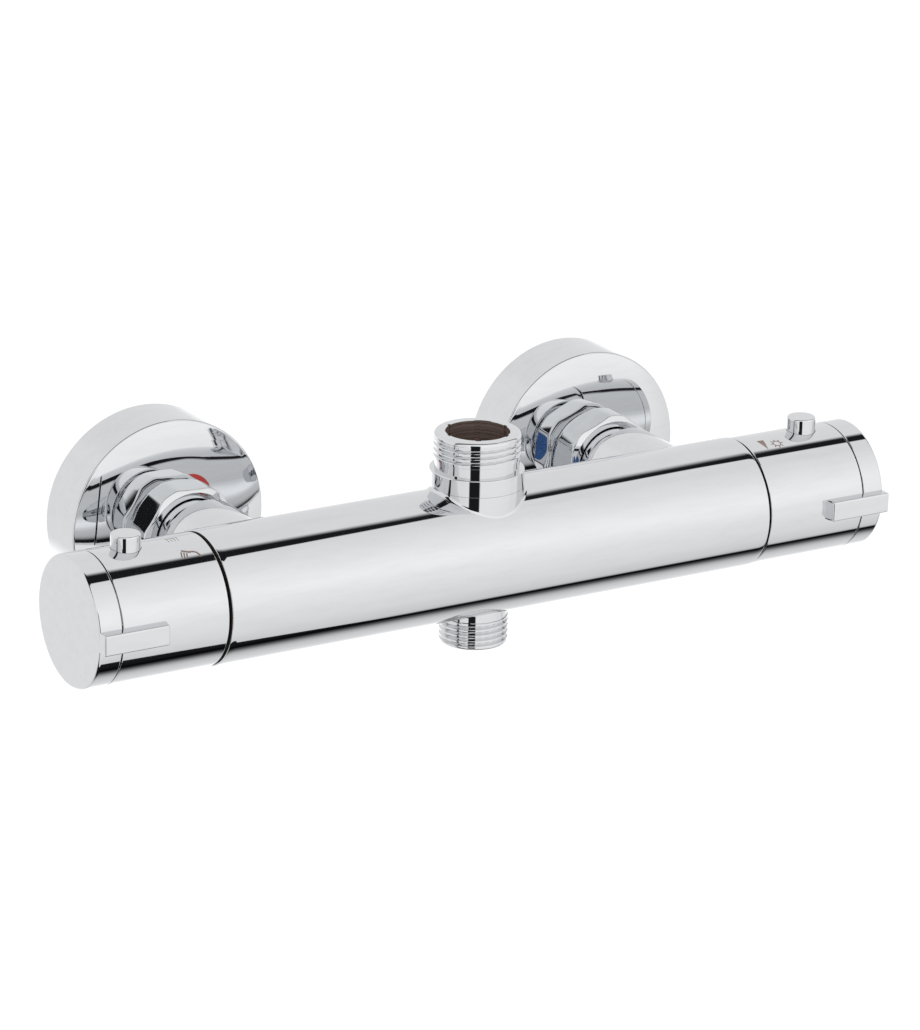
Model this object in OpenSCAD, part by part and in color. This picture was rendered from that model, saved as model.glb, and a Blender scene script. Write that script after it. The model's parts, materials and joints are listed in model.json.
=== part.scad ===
// Thermostatic shower valve, exposed bar type, for a wall with two inlets.
// Millimetres, +Z up, wall at Y = 0 and the room towards -Y.
// The origin lies on the wall, midway between the hot inlet (left, -X) and the cold inlet (right, +X).

/* [Placing] */
// Distance between the two inlets, middle to middle
inlet_pitch = 150; // [140:0.5:160]
// Distance from the wall to the axis of the bar
bar_reach = 74; // [70:0.5:80]
// Height of the inlets above the axis of the bar
inlet_rise = 3; // [0:0.5:4]

/* [Bar] */
// Diameter of the bar
body_d = 40.8; // [38:0.1:46]
// Length of the bar past the middle of each inlet
body_overhang = 19; // [16:0.5:24]
// Rounding of the edges at the bar's ends
body_edge = 0.8; // [0.3:0.1:1.5]
// Length of the spigot that stands into each handle
spigot_len = 9; // [8.5:0.5:10]
// Play between a spigot and the handle around it
spigot_play = 1.4; // [0.8:0.1:2]
// Wall of a spigot around the cartridge nut
spigot_wall = 1.7; // [1.2:0.1:2.2]
// Diameter of the bore that carries the mixed water
mix_bore_d = 15; // [12:0.5:16]
// Diameter of the gallery that carries the hot water to the thermostat
hot_gallery_d = 5.8; // [4:0.1:6]
// Wall between that gallery and the outside of the bar
hot_gallery_wall = 1.9; // [1.5:0.1:2.2]
// Diameter of the galleries to the two outlets
outlet_gallery_d = 5.2; // [4:0.1:6]
// Wall between those galleries and the outside of the bar
outlet_gallery_wall = 3.2; // [2.8:0.1:3.6]

/* [Inlet bosses] */
// Diameter of a boss on the back of the bar
boss_d = 28.8; // [27:0.1:32]
// Length of a boss from the axis of the bar
boss_len = 33; // [31:0.5:35]
// Diameter of the stub that the nut turns on
stub_d = 24; // [23.4:0.1:24.4]
// Diameter of the water's bore in a boss
inlet_bore_d = 14; // [11:0.5:14.5]
// Diameter of the stub's groove for the retaining ring
clip_groove_d = 22.4; // [21.8:0.1:22.8]
// Thickness of the retaining ring
clip_t = 1.4; // [1:0.1:1.6]
// Width of the retaining ring's opening
clip_opening = 7; // [5:0.5:9]

/* [Wall unions] */
// Crest diameter of the union's front thread
union_d = 26.44; // [25.8:0.02:27]
// Crest diameter of the thread that goes into the wall
wall_thread_d = 20.955; // [20:0.005:22]
// Length of the union in front of the wall
union_len = 24; // [23:0.5:26]
// Length of the plain step between the two threads
union_step_len = 4; // [3:0.5:5]
// Diameter of that step
union_step_d = 22; // [21.5:0.1:24]
// Length of the union's thread behind the wall
wall_thread_depth = 13; // [10:0.5:16]
// Length of the wall thread in front of the wall
wall_thread_front = 2; // [1:0.5:3]
// Water bore of the union
union_bore_d = 12; // [10:0.5:13]
// Width across flats of the socket that screws the union in
union_key_af = 12.6; // [12.2:0.1:14]
// Depth of that socket
union_key_depth = 10; // [8:0.5:14]

/* [Threads] */
// Distance between two turns of the pipe threads
thread_pitch = 1.814; // [1.7:0.002:1.9]
// Width of a thread groove at its mouth
groove_w = 1.15; // [0.9:0.05:1.3]
// Depth of a thread groove
groove_depth = 0.8; // [0.5:0.05:0.9]

/* [Wall plates] */
// Diameter of a wall plate
plate_d = 65; // [62:0.5:70]
// Depth of a wall plate, at its middle
plate_depth = 20.3; // [19:0.1:21]
// Thickness of the plate's side
plate_side = 1.3; // [1:0.1:2]
// Thickness of the plate's front
plate_front = 1.5; // [1:0.1:2]
// Fall of the plate's front from its middle to its rim
plate_dome = 2.6; // [1:0.1:3]
// Rounding of the plate's front edge
plate_edge = 0.9; // [0.4:0.1:1.2]
// Play of the union in the plate's hole
plate_play = 0.28; // [0.15:0.01:0.4]
// Wall of the collar inside the plate
plate_collar_wall = 1.7; // [1.5:0.1:2.5]
// Length of that collar behind the plate's front
plate_collar_len = 6.5; // [5:0.5:8]
// Thickness of the seal ring in the collar
plate_seal_t = 1.3; // [1.2:0.05:1.4]

/* [Union nuts] */
// Width across flats
nut_af = 30; // [29.5:0.5:32]
// Length of a nut
nut_len = 12.7; // [12:0.1:13.2]
// Diameter over the turned corners of the hexagon
nut_turned_d = 31.8; // [31:0.1:34]
// Room between a nut and its wall plate
nut_room = 0.3; // [0.2:0.05:0.5]
// Diameter of the nut's flat ring towards the bar
nut_front_d = 25.8; // [25.2:0.1:27]
// Diameter of the nut's flat ring towards the wall
nut_rear_d = 28.6; // [27.8:0.1:29]
// Length of the nut's lip over the stub
nut_lip_len = 3.2; // [2.6:0.1:3.6]
// Play of the lip around the stub
nut_lip_play = 0.3; // [0.2:0.05:0.4]
// Direction of one flat of the hot nut, in degrees up from +X
hot_nut_flat = 27; // [0:1:60]
// Direction of one flat of the cold nut, in degrees up from +X
cold_nut_flat = 53; // [0:1:60]

/* [Check valves] */
// Outer diameter of a check valve's cage
cage_d = 17; // [16.6:0.1:17.4]
// Length of the cage
cage_len = 13.3; // [13:0.1:14]
// Depth of the cage past the end of the stub
cage_inset = 0.5; // [0.3:0.1:0.8]
// Wall of the cage
cage_wall = 1.3; // [1:0.1:1.6]
// Thickness of the cage's two ends
cage_end = 2; // [1.5:0.1:2.5]
// Diameter of the poppet's disc
poppet_d = 12; // [11.4:0.1:12.4]
// Thickness of that disc
poppet_t = 1.5; // [1.2:0.1:2]
// Diameter of the hole that the poppet closes
seat_d = 10; // [9:0.1:10.6]
// Diameter of the poppet's stem
poppet_stem_d = 3; // [2.6:0.1:3.4]
// Travel of the poppet
poppet_travel = 2.5; // [2:0.1:3]
// Diameter of the cage's flow holes
cage_flow_d = 3; // [2.4:0.1:3.2]
// Inner diameter of the poppet's spring
poppet_spring_d = 4.4; // [4:0.1:4.8]
// Wire of the small springs
small_wire = 1.2; // [1:0.1:1.4]

/* [Strainers] */
// Thickness of the sealing washer around a strainer
washer_t = 2; // [1.6:0.1:2.4]
// Inner diameter of the sealing washer
washer_bore_d = 15; // [14:0.5:17]
// Thickness of the strainer's mesh
mesh_t = 0.5; // [0.4:0.1:1]
// Diameter of a hole in the mesh
mesh_hole_d = 1.6; // [1.2:0.1:2]
// Distance between the rings of holes
mesh_step = 2.6; // [2.4:0.1:3]

/* [Top outlet] */
// Height of the bar's own boss over the top of the bar
top_boss_stand = 0.6; // [0.4:0.1:2.6]
// Diameter of the boss and of the outlet's collar
top_collar_d = 28.8; // [28.4:0.1:32]
// Height of the collar
top_collar_h = 5.2; // [4:0.1:7]
// Diameter of the plain neck below the thread
top_neck_d = 25.8; // [25:0.1:26.4]
// Length of that neck
top_neck_h = 3.3; // [2:0.1:4]
// Length of the outlet's thread
top_thread_len = 8.1; // [8:0.1:12]
// Distance from the rim to the first groove
top_lead_in = 1; // [0.9:0.1:2]
// Rounding of the rim's outer edge
top_rim_edge = 0.4; // [0.2:0.05:0.4]
// Bore of the outlet
top_bore_d = 19.5; // [18:0.1:20]
// Depth of that bore from the rim
top_bore_depth = 13.6; // [12:0.1:14.5]
// Narrow bore through the outlet's foot
top_foot_bore_d = 17; // [15:0.1:17.4]
// Diameter of the foot in the bar
top_foot_d = 23; // [22.6:0.1:24]
// Number of key notches in the bore
key_count = 6; // [4:1:8]
// Width of a key notch
key_w = 1.6; // [1:0.1:2]
// Depth of a key notch into the wall
key_deep = 1; // [0.6:0.1:1.4]
// Length of the key notches from the rim
key_len = 6; // [4:0.5:8]

/* [Bottom outlet] */
// Depth of the outlet's end below the axis of the bar
bottom_end_h = 29.2; // [28:0.1:32]
// Distance from the end to the first groove
bottom_lead_in = 1.7; // [1.5:0.1:2]
// Rounding of the outlet's end
bottom_edge = 0.8; // [0.4:0.1:0.9]
// Diameter of the plain step between the bar and the thread
bottom_step_d = 20.2; // [19.4:0.1:20.6]
// Bore of the outlet
bottom_bore_d = 13.5; // [12:0.1:14]
// Diameter of the foot in the bar
bottom_foot_d = 18; // [17.6:0.1:18.6]
// Wall of the bar over the foot
bottom_seat_wall = 3.4; // [3.2:0.1:3.5]

/* [Handles] */
// Diameter of a handle
handle_d = 40; // [38:0.1:44]
// Room between the bar and a handle
handle_room = 0.9; // [0.5:0.1:1.2]
// Length of a handle's sleeve
sleeve_len = 34.4; // [34:0.1:36]
// Wall of the sleeve
sleeve_wall = 1.6; // [1.3:0.1:2]
// Rounding of the sleeve's edges
sleeve_edge = 0.4; // [0.2:0.1:0.8]
// Seam between the sleeve and the end cap
cap_seam = 0.35; // [0.2:0.05:0.6]
// Length of the end cap past the seam
cap_len = 7.35; // [6.5:0.05:9]
// Wall of the end cap
cap_wall = 2; // [1.5:0.1:3]
// Rounding of the end cap's outer edge
cap_edge = 0.8; // [0.4:0.1:1.5]
// Length of the cap's spigot in the sleeve
cap_spigot_len = 1.85; // [1.5:0.05:1.9]
// Wall of that spigot
cap_spigot_wall = 1.3; // [1:0.1:2]
// Thickness of the hub's disc
hub_disc_t = 3.4; // [3:0.1:3.6]
// Outer diameter of the hub's socket
hub_socket_d = 14; // [13:0.1:15]
// Room between a spindle's end and the hub's disc
spindle_room = 4.2; // [4:0.1:4.6]
// Diameter of the hub screw
hub_screw_d = 4; // [3:0.1:4.4]
// Head of the hub screw
hub_screw_head_d = 7.6; // [6.5:0.1:9]
// Height of that head
hub_screw_head_h = 2.2; // [1.6:0.1:3]
// Thread length of the hub screw in the spindle
hub_screw_grip = 7; // [5:0.5:7.5]

/* [Levers] */
// Length of a lever along the handle
lever_len = 21.4; // [19:0.1:22]
// Height of a lever
lever_h = 6.4; // [5:0.1:8]
// Distance that a lever stands out of the handle
lever_stand = 3.3; // [2.5:0.1:6]
// Rounding of the lever's corners
lever_corner = 0.8; // [0.4:0.1:1.2]
// Diameter of the pins that hold a lever
lever_pin_d = 3; // [2:0.1:3.4]
// Distance between the two pins
lever_pin_step = 4; // [3.6:0.1:4.1]
// Distance from the lever's inner end to the first pin
lever_pin_inset = 2.6; // [2:0.1:3]

/* [Buttons] */
// Diameter of a stop button
button_d = 9; // [8:0.1:9.2]
// Distance that a button stands out of the handle
button_stand = 4.4; // [3:0.1:5]
// Distance from the hub's disc to the button's middle
button_inset = 5.7; // [5.6:0.1:6]
// Travel of a button
button_travel = 2; // [1.5:0.1:2.2]
// Rounding of the button's top edge
button_edge = 0.6; // [0.3:0.1:1]
// Diameter of the flange that keeps a button in
button_flange_d = 10.8; // [10.4:0.1:11]
// Thickness of that flange
button_flange_t = 0.8; // [0.6:0.1:0.9]
// Distance from the sleeve's inside to the flange
button_flange_room = 1.2; // [1.1:0.05:1.4]
// Diameter of the button's stem
button_stem_d = 3.8; // [3:0.1:3.8]
// Play between the button and the hole in the sleeve
button_play = 0.1; // [0.05:0.01:0.1]
// Room between a button's flange and its shelf
button_spring_len = 3.2; // [3:0.1:3.4]
// Thickness of the shelf under the spring
shelf_t = 1.1; // [1:0.1:1.3]
// Width of that shelf
shelf_w = 14; // [12:0.5:16]
// Inner diameter of a button's spring
button_spring_d = 4.4; // [4.2:0.1:4.8]

/* [Stop rings] */
// Outer diameter of a stop ring
stop_ring_d = 23.2; // [22.8:0.1:23.4]
// Wall of a stop ring's rim
stop_ring_wall = 1.2; // [1:0.1:1.6]
// Length of its hub on the cartridge's neck
stop_hub_len = 3.7; // [3:0.1:4]
// Room between a stop ring's rim and the hub's disc
stop_ring_room = 1.2; // [1:0.1:1.6]
// Width of the window that the button's stem travels in
stop_window_w = 5; // [4.6:0.1:5.4]
// Extra angle of the window past the handle's travel
stop_window_spare = 14; // [10:1:20]

/* [Cartridges] */
// Diameter of a cartridge's neck
neck_d = 16; // [14.5:0.1:16.6]
// Length of the neck past the cartridge's flange
neck_len = 10; // [9.6:0.1:10.4]
// Thickness of a cartridge's flange
flange_t = 2; // [1.6:0.1:2.4]
// Width of the seat under the flange
flange_seat = 1.3; // [1:0.1:1.6]
// Diameter of a spindle
spindle_d = 8; // [7.4:0.1:8.4]
// Width across the flats at a spindle's end
spindle_af = 6.8; // [6.2:0.1:7.2]
// Thickness of the seal rings
seal_t = 1.6; // [1.4:0.05:1.7]
// Length of a cartridge nut
cartridge_nut_len = 5; // [4.6:0.1:5.4]
// Bore of a cartridge nut
cartridge_nut_bore_d = 18; // [17.2:0.1:19]
// Number of drive slots in a cartridge nut
nut_slot_count = 4; // [2:2:6]
// Width of a drive slot
nut_slot_w = 3; // [2:0.1:4]
// Depth of a drive slot
nut_slot_depth = 2; // [1:0.1:3]

/* [Thermostat] */
// Distance of the hot ports from the cold ports, along the bar
hot_port_inset = 11.8; // [11.4:0.1:12]
// Diameter of a hot port in the cartridge
hot_port_d = 3.6; // [3:0.1:3.8]
// Diameter of a cold port in the cartridge
cold_port_d = 6; // [5:0.1:6.4]
// Number of ports in each ring
port_count = 6; // [4:1:6]
// Distance from the hot ports to the end of the wide cavity
hot_cavity_lead = 4.2; // [4:0.1:4.6]
// Length of the narrow cavity for the cartridge's nose
nose_cavity_len = 5; // [4.6:0.1:5.6]
// Depth of the recess that spreads the hot water
hot_recess_depth = 2.2; // [1.5:0.1:2.4]
// Width of that recess
hot_recess_w = 6.4; // [5.6:0.1:6.6]
// Depth of the groove that spreads the cold water
cold_groove_depth = 1.3; // [1:0.1:1.6]
// Width of that groove
cold_groove_w = 8; // [7:0.1:8.4]
// Wall of the cartridge
thermo_wall = 3.4; // [3.2:0.1:3.6]
// Thickness of the chamber's outer end
thermo_end_t = 3.7; // [3.2:0.1:4]
// Step from the wide cavity to the nose's cavity
nose_step = 2.2; // [2:0.1:2.4]
// Thickness of the nose's lip
nose_lip_t = 3; // [2.5:0.1:3.2]
// Length of the nose's thread in the cartridge
nose_thread_len = 1.9; // [1.6:0.1:2]
// Wall of the nose around the return spring
nose_wall = 1.26; // [1.1:0.02:1.4]
// Length of the piston
piston_len = 8.6; // [8.4:0.1:8.8]
// Wall of the piston
piston_wall = 1.04; // [0.9:0.02:1.2]
// Thickness of the piston's web
piston_web_t = 2; // [1.6:0.1:2.4]
// Diameter of the piston's hub
piston_hub_d = 11.4; // [11:0.1:11.6]
// Length of that hub
piston_hub_len = 5; // [4:0.1:5.4]
// Number of flow holes in the web
web_hole_count = 8; // [6:1:8]
// Diameter of a flow hole
web_hole_d = 1.8; // [1.4:0.1:1.9]
// Diameter of the wax element
wax_d = 9.9; // [9.4:0.1:10.2]
// Length of the wax element
wax_len = 14; // [13:0.1:14.6]
// Diameter of the wax element's pin
wax_pin_d = 3; // [2.6:0.1:3.6]
// Length of that pin
wax_pin_len = 3; // [2.6:0.1:3.4]
// Wire of the return spring
return_wire = 1.4; // [1.2:0.1:1.5]
// Diameter of the pusher's flange
pusher_flange_d = 15; // [14:0.1:17]
// Thickness of that flange
pusher_flange_t = 2; // [1.6:0.1:2.2]
// Diameter of the pusher's screw
pusher_screw_d = 9.88; // [9.4:0.02:10.4]
// Length of the pusher's screw
pusher_screw_len = 9; // [8:0.1:9.2]
// Wall of the spindle's socket around the pusher's screw
pusher_socket_wall = 2.5; // [2:0.1:3]
// Length of that socket
pusher_socket_len = 8; // [7.8:0.1:8.2]
// Solid end of that socket
pusher_socket_end = 1; // [0.8:0.1:1.2]

/* [Flow cartridge] */
// Step from the flow cartridge's nut to the cavity behind it
flow_recess_step = 2; // [1.8:0.1:2.3]
// Distance from the middle of the inlet to the inner end of the cavity
flow_cavity_lead = 15; // [14.5:0.1:15.5]
// Wall of the flow cartridge
flow_wall = 2.3; // [2:0.1:2.5]
// Length of the flow cartridge's nose
flow_nose_len = 7.7; // [7.4:0.1:8]
// Diameter of the nose's inlet
flow_inlet_d = 7.2; // [6:0.1:7.4]
// Diameter of the ports that the turning disc opens
flow_port_d = 3.6; // [3:0.1:3.8]
// Diameter of the side ports that lead out of the nose
flow_side_port_d = 2.6; // [2:0.1:2.8]
// Distance of those ports from the axis
flow_port_r = 6.2; // [6:0.1:6.3]
// Depth of the port pockets in the nose
flow_pocket_depth = 3.5; // [3.2:0.1:3.8]
// Thickness of a ceramic disc
disc_t = 2.5; // [2.2:0.1:2.7]
// Depth of the channel in the turning disc
channel_depth = 1.3; // [1:0.1:1.4]
// Width of that channel
channel_w = 4; // [3.4:0.1:4.4]
// Thickness of the flow spindle's head
flow_head_t = 3; // [2.6:0.1:3.2]
// Diameter of the two drive dogs on the head
dog_d = 2.4; // [2:0.1:2.6]
// Length of the dogs
dog_len = 1; // [0.8:0.1:1.05]
// Distance of the dogs from the axis
dog_r = 5; // [4.6:0.1:5.2]

/* [Marks] */
// Diameter of the hot and cold marks on the bar's back
mark_d = 15.2; // [12:0.1:16]
// Thickness of a mark
mark_t = 0.2; // [0.15:0.05:0.4]
// Distance from the middle of the inlet to the hot mark, along the bar
hot_mark_inset = 26; // [22:0.1:28]
// Distance from the middle of the inlet to the cold mark, along the bar
cold_mark_inset = 26; // [22:0.1:28]
// Depth of the marks below the axis of the bar
mark_drop = 0; // [0:0.1:4]

/* [Turning range] */
// Travel of the temperature handle towards cold, in degrees
cold_travel = 150; // [120:5:160]
// Travel of the temperature handle towards hot, in degrees
hot_travel = 60; // [40:5:70]
// Travel of the flow handle to each side, in degrees
flow_travel = 90; // [80:5:95]

/* [Fits] */
// Radial play of pieces that turn or slide on each other
run_gap = 0.06; // [0.03:0.01:0.1]
// Radial play of pieces that are pushed or screwed together
slip_gap = 0.1; // [0.05:0.01:0.15]
// Room between pieces that must not touch
part_gap = 0.3; // [0.25:0.05:0.5]

/* [Hidden] */
$fn = 96;
// steps of a rounded edge, a count
edge_steps = 6;
dome_steps = 12;
// length that every cut reaches past the solid it cuts
overrun = 1;
// slope of the nut's chamfers, length over radius
nut_chamfer_share = 0.477;
// width of a seal's groove over the seal's thickness
seal_groove_share = 1.3;

// along the bar, from its middle
inlet_x = inlet_pitch / 2;
body_end = inlet_x + body_overhang;
spigot_end = body_end + spigot_len;
recess_from = spigot_end - cartridge_nut_len - flange_t;
nut_from = recess_from + flange_t;
neck_end = nut_from + neck_len;
stop_from = spigot_end + part_gap;
stop_rim_from = stop_from + stop_hub_len;
handle_from = body_end + handle_room;
sleeve_to = handle_from + sleeve_len;
cap_from = sleeve_to + cap_seam;
cap_to = cap_from + cap_len;
cap_spigot_from = cap_from - cap_spigot_len;
cap_bore_r = handle_d / 2 - sleeve_wall - slip_gap - cap_spigot_wall;
hub_to = cap_spigot_from - slip_gap - slip_gap;
hub_disc_from = hub_to - hub_disc_t;
stop_rim_to = hub_disc_from - stop_ring_room;
socket_from = neck_end + overrun;
spindle_end = hub_disc_from - spindle_room;
hub_screw_tip = spindle_end - hub_screw_grip;
button_x = hub_disc_from - button_inset;
lever_from = cap_to - lever_len;
lever_pins = [lever_from + lever_pin_inset, lever_from + lever_pin_inset + lever_pin_step];

// across the handles
handle_r = handle_d / 2;
sleeve_bore_r = handle_r - sleeve_wall;
spigot_r = sleeve_bore_r - spigot_play;
thermo_recess_r = spigot_r - spigot_wall;
thermo_cavity_r = thermo_recess_r - flange_seat;
neck_r = neck_d / 2;
spindle_r = spindle_d / 2;
stop_ring_r = stop_ring_d / 2;
stop_rim_bore_r = stop_ring_r - stop_ring_wall;
flange_top = sleeve_bore_r - button_flange_room;
flange_bottom = flange_top - button_flange_t;
shelf_top = flange_bottom - button_spring_len;
shelf_bottom = shelf_top - shelf_t;
stem_bottom = stop_ring_r - stop_ring_wall / 2;
lever_front = handle_r + lever_stand;

// the thermostatic cartridge
hot_port_x = inlet_x - hot_port_inset;
thermo_cavity_from = hot_port_x - hot_cavity_lead;
nose_cavity_from = thermo_cavity_from - nose_cavity_len;
nose_cavity_r = thermo_cavity_r - nose_step;
nose_from = nose_cavity_from + part_gap;
thermo_from = thermo_cavity_from + part_gap;
thermo_r = thermo_cavity_r - slip_gap;
chamber_r = thermo_r - thermo_wall;
chamber_to = nut_from - flange_t - thermo_end_t;
nose_r = nose_cavity_r - slip_gap;
nose_floor = nose_from + nose_lip_t;
nose_thread_to = thermo_from + nose_thread_len;
nose_thread_r = chamber_r - slip_gap / 2;
nose_bore_r = nose_thread_r - nose_wall;
piston_r = chamber_r - run_gap;
piston_bore_r = piston_r - piston_wall;
piston_mid = (hot_port_x + hot_port_d / 2 + inlet_x - cold_port_d / 2) / 2;
piston_from = piston_mid - piston_len / 2;
piston_to = piston_mid + piston_len / 2;
web_from = piston_mid - piston_web_t / 2 - slip_gap - slip_gap - slip_gap;
web_to = web_from + piston_web_t;
piston_hub_from = (web_from + web_to) / 2 - piston_hub_len / 2;
piston_hub_to = piston_hub_from + piston_hub_len;
wax_bore_r = wax_d / 2 + slip_gap / 5;
web_hole_r = (piston_hub_d / 2 + piston_bore_r - return_wire - slip_gap) / 2;
return_spring_r = nose_bore_r - slip_gap;
pusher_socket_to = chamber_to - part_gap;
pusher_socket_from = pusher_socket_to - pusher_socket_len;
pusher_socket_bore_to = pusher_socket_to - pusher_socket_end;
pusher_from = pusher_socket_bore_to - overrun - pusher_screw_len;
pusher_flange_from = pusher_from - pusher_flange_t;
wax_to = pusher_flange_from - wax_pin_len;
wax_from = wax_to - wax_len;
pusher_screw_r = pusher_screw_d / 2;
pusher_socket_r = pusher_screw_r + run_gap + pusher_socket_wall;
hot_recess_from = hot_port_x - hot_recess_w / 2;
hot_recess_to = hot_port_x + hot_recess_w / 2;
middle_seal_x = (hot_recess_to + inlet_x - cold_groove_w / 2) / 2;
outer_seal_x = (inlet_x + cold_groove_w / 2 + recess_from) / 2;
nose_seal_x = (nose_from + thermo_cavity_from) / 2;
neck_seal_x = (nut_from + neck_end) / 2;
hot_gallery_r = body_d / 2 - hot_gallery_wall - hot_gallery_d / 2;
hot_gallery_y = sqrt(hot_gallery_r * hot_gallery_r - inlet_rise * inlet_rise);

// the flow cartridge
flow_recess_r = thermo_recess_r - flow_recess_step;
flow_flange_r = flow_recess_r - slip_gap;
flow_cavity_r = flow_recess_r - flow_wall;
flow_cavity_from = inlet_x - flow_cavity_lead;
flow_r = flow_cavity_r - slip_gap;
flow_chamber_r = flow_r - flow_wall;
flow_from = flow_cavity_from + part_gap;
flow_nose_to = flow_from + flow_nose_len;
fixed_disc_to = flow_nose_to + disc_t;
turning_disc_to = fixed_disc_to + disc_t;
flow_head_to = turning_disc_to + flow_head_t;
flow_chamber_to = flow_head_to + overrun;
disc_r = flow_chamber_r - slip_gap;
flow_pocket_from = flow_nose_to - flow_pocket_depth;
flow_port_x = flow_nose_to - flow_pocket_depth / 2;
flow_nose_seal_x = flow_from + seal_t + slip_gap;
outlet_gallery_h = body_d / 2 - outlet_gallery_wall - outlet_gallery_d / 2;

// the outlets
top_boss_h = body_d / 2 + top_boss_stand;
top_collar_to = top_boss_h + top_collar_h;
top_neck_to = top_collar_to + top_neck_h;
top_rim = top_neck_to + top_thread_len;
top_seat_h = outlet_gallery_h - outlet_gallery_d / 2;
top_foot_from = outlet_gallery_h + outlet_gallery_d / 2 + slip_gap + slip_gap;
top_foot_r = top_foot_d / 2;
top_foot_bore_r = top_foot_r + slip_gap;
top_seal_h = (top_foot_from + top_boss_h) / 2;
top_seal_w = seal_t * seal_groove_share;
bottom_seat_h = body_d / 2 - bottom_seat_wall;
bottom_foot_to = outlet_gallery_h - outlet_gallery_d / 2 - part_gap - part_gap;
bottom_step_r = bottom_step_d / 2;
bottom_thread_from = body_d / 2 + slip_gap + slip_gap;

// from the wall towards the room
stub_end = union_len + washer_t;
boss_end = bar_reach - boss_len;
boss_r = boss_d / 2;
stub_r = stub_d / 2;
union_r = union_d / 2;
union_step_to = wall_thread_front + union_step_len;
nut_rear = plate_depth + nut_room;
nut_front = nut_rear + nut_len;
nut_chamber_to = nut_front - nut_lip_len;
nut_chamber_r = union_r + slip_gap;
nut_lip_r = stub_r + nut_lip_play;
nut_corner_r = nut_af / 2 / cos(30);
nut_turned_r = nut_turned_d / 2;
clip_to = nut_chamber_to - part_gap;
clip_from = clip_to - clip_t;
clip_r = nut_chamber_r - slip_gap - slip_gap;
plate_r = plate_d / 2;
plate_hole_r = union_r + plate_play;
plate_collar_r = plate_hole_r + plate_collar_wall;
plate_collar_to = plate_depth - plate_front - plate_collar_len;
plate_seal_d = plate_depth - plate_front - plate_collar_len / 2;
cage_r = cage_d / 2;
cage_bore_r = cage_r + slip_gap;
cage_rear = stub_end + cage_inset;
cage_front = cage_rear + cage_len;
cage_seat = cage_rear + cage_end;
cage_guide = cage_front - cage_end;
cage_pocket = cage_front + part_gap;
poppet_front = cage_seat + poppet_t;
poppet_stem_to = cage_front - overrun;
cold_bore_stop = thermo_cavity_r * cos(45);
hot_bore_stop = flow_cavity_r + flow_wall;
mark_bed_r = body_d / 2 + slip_gap / 5;

// ---- places ----

// Puts a piece drawn around the bar's axis in its place in front of the wall.
module at_bar() {
    translate([0, -bar_reach, -inlet_rise]) children();
}

// Puts a piece drawn on the right half of the bar on the right or the left.
module on_side(side) {
    at_bar()
        if (side < 0)
            mirror([1, 0, 0]) children();
        else
            children();
}

// Puts a piece drawn around an inlet's axis on the right or the left inlet.
module at_inlet(side) {
    translate([side * inlet_x, 0, 0]) children();
}

// ---- basic forms ----

// A rod along the bar.
module rod_x(from, to, r) {
    translate([from, 0, 0])
        rotate([0, 90, 0])
            cylinder(r = r, h = to - from);
}

// A rod from one height to another.
module rod_z(from, to, r) {
    translate([0, 0, from])
        cylinder(r = r, h = to - from);
}

// A rod square to the wall, between two distances from the wall.
module rod_w(near, far, r) {
    translate([0, -far, 0])
        rotate([-90, 0, 0])
            cylinder(r = r, h = far - near);
}

module tube_x(from, to, r, bore_r) {
    difference() {
        rod_x(from, to, r);
        rod_x(from - overrun, to + overrun, bore_r);
    }
}

module tube_z(from, to, r, bore_r) {
    difference() {
        rod_z(from, to, r);
        rod_z(from - overrun, to + overrun, bore_r);
    }
}

module tube_w(near, far, r, bore_r) {
    difference() {
        rod_w(near, far, r);
        rod_w(near - overrun, far + overrun, bore_r);
    }
}

// The points of a rounded edge.
function arc(centre, r, from, to) =
    [for (i = [0 : edge_steps])
        let (a = from + (to - from) * i / edge_steps)
        centre + r * [cos(a), sin(a)]];

// A round bar whose two edges are rounded, standing on its near end.
module edged_rod(len, r, near, far) {
    rotate_extrude()
        polygon(concat(
            [[0, 0]],
            arc([r - near, near], near, -90, 0),
            arc([r - far, len - far], far, 0, 90),
            [[0, len]]
        ));
}

module edged_rod_x(from, to, r, near, far) {
    translate([from, 0, 0])
        rotate([0, 90, 0])
            edged_rod(to - from, r, near, far);
}

// A threaded bar standing on its plain end, with one V groove for each turn.
module thread_rod(len, r, lead_in, edge) {
    turns = floor((len - lead_in - groove_w) / thread_pitch);
    rotate_extrude()
        polygon(concat(
            [[0, 0], [r, 0]],
            [for (i = [turns : -1 : 0])
                let (z = len - lead_in - i * thread_pitch)
                each [
                    [r, z - groove_w / 2],
                    [r - groove_depth, z],
                    [r, z + groove_w / 2]
                ]],
            arc([r - edge, len - edge], edge, 0, 90),
            [[0, len]]
        ));
}

// A seal ring around the bar's axis that touches a wall of the given radius.
module seal_x(x, wall_r, t) {
    translate([x, 0, 0])
        rotate([0, 90, 0])
            rotate_extrude()
                translate([wall_r - t / 2, 0])
                    circle(d = t, $fn = 32);
}

// The groove that such a ring sits in.
module seal_groove_x(x, wall_r, t) {
    w = t * seal_groove_share;
    tube_x(x - w / 2, x + w / 2, wall_r + overrun, wall_r - t);
}

// A ring of radial holes around the bar's axis.
module ports_x(x, d, reach, count) {
    for (i = [0 : count - 1])
        rotate([360 / count * i, 0, 0])
            translate([x, 0, 0])
                cylinder(d = d, h = reach);
}

// A rod that has two flats.
module flatted_rod_x(from, to, r, af) {
    intersection() {
        rod_x(from, to, r);
        translate([from, -r, -af / 2])
            cube([to - from, r + r, af]);
    }
}

// ---- the bar ----

module inlet_boss(side) {
    at_inlet(side) {
        rod_w(boss_end, bar_reach, boss_r);
        rod_w(stub_end, bar_reach, stub_r);
    }
}

module inlet_cuts(side, stop) {
    at_inlet(side) {
        rod_w(stub_end - overrun, bar_reach - stop, inlet_bore_d / 2);
        rod_w(stub_end - overrun, cage_pocket, cage_bore_r);
        tube_w(clip_from, clip_to, stub_r + overrun, clip_groove_d / 2);
    }
}

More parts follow.
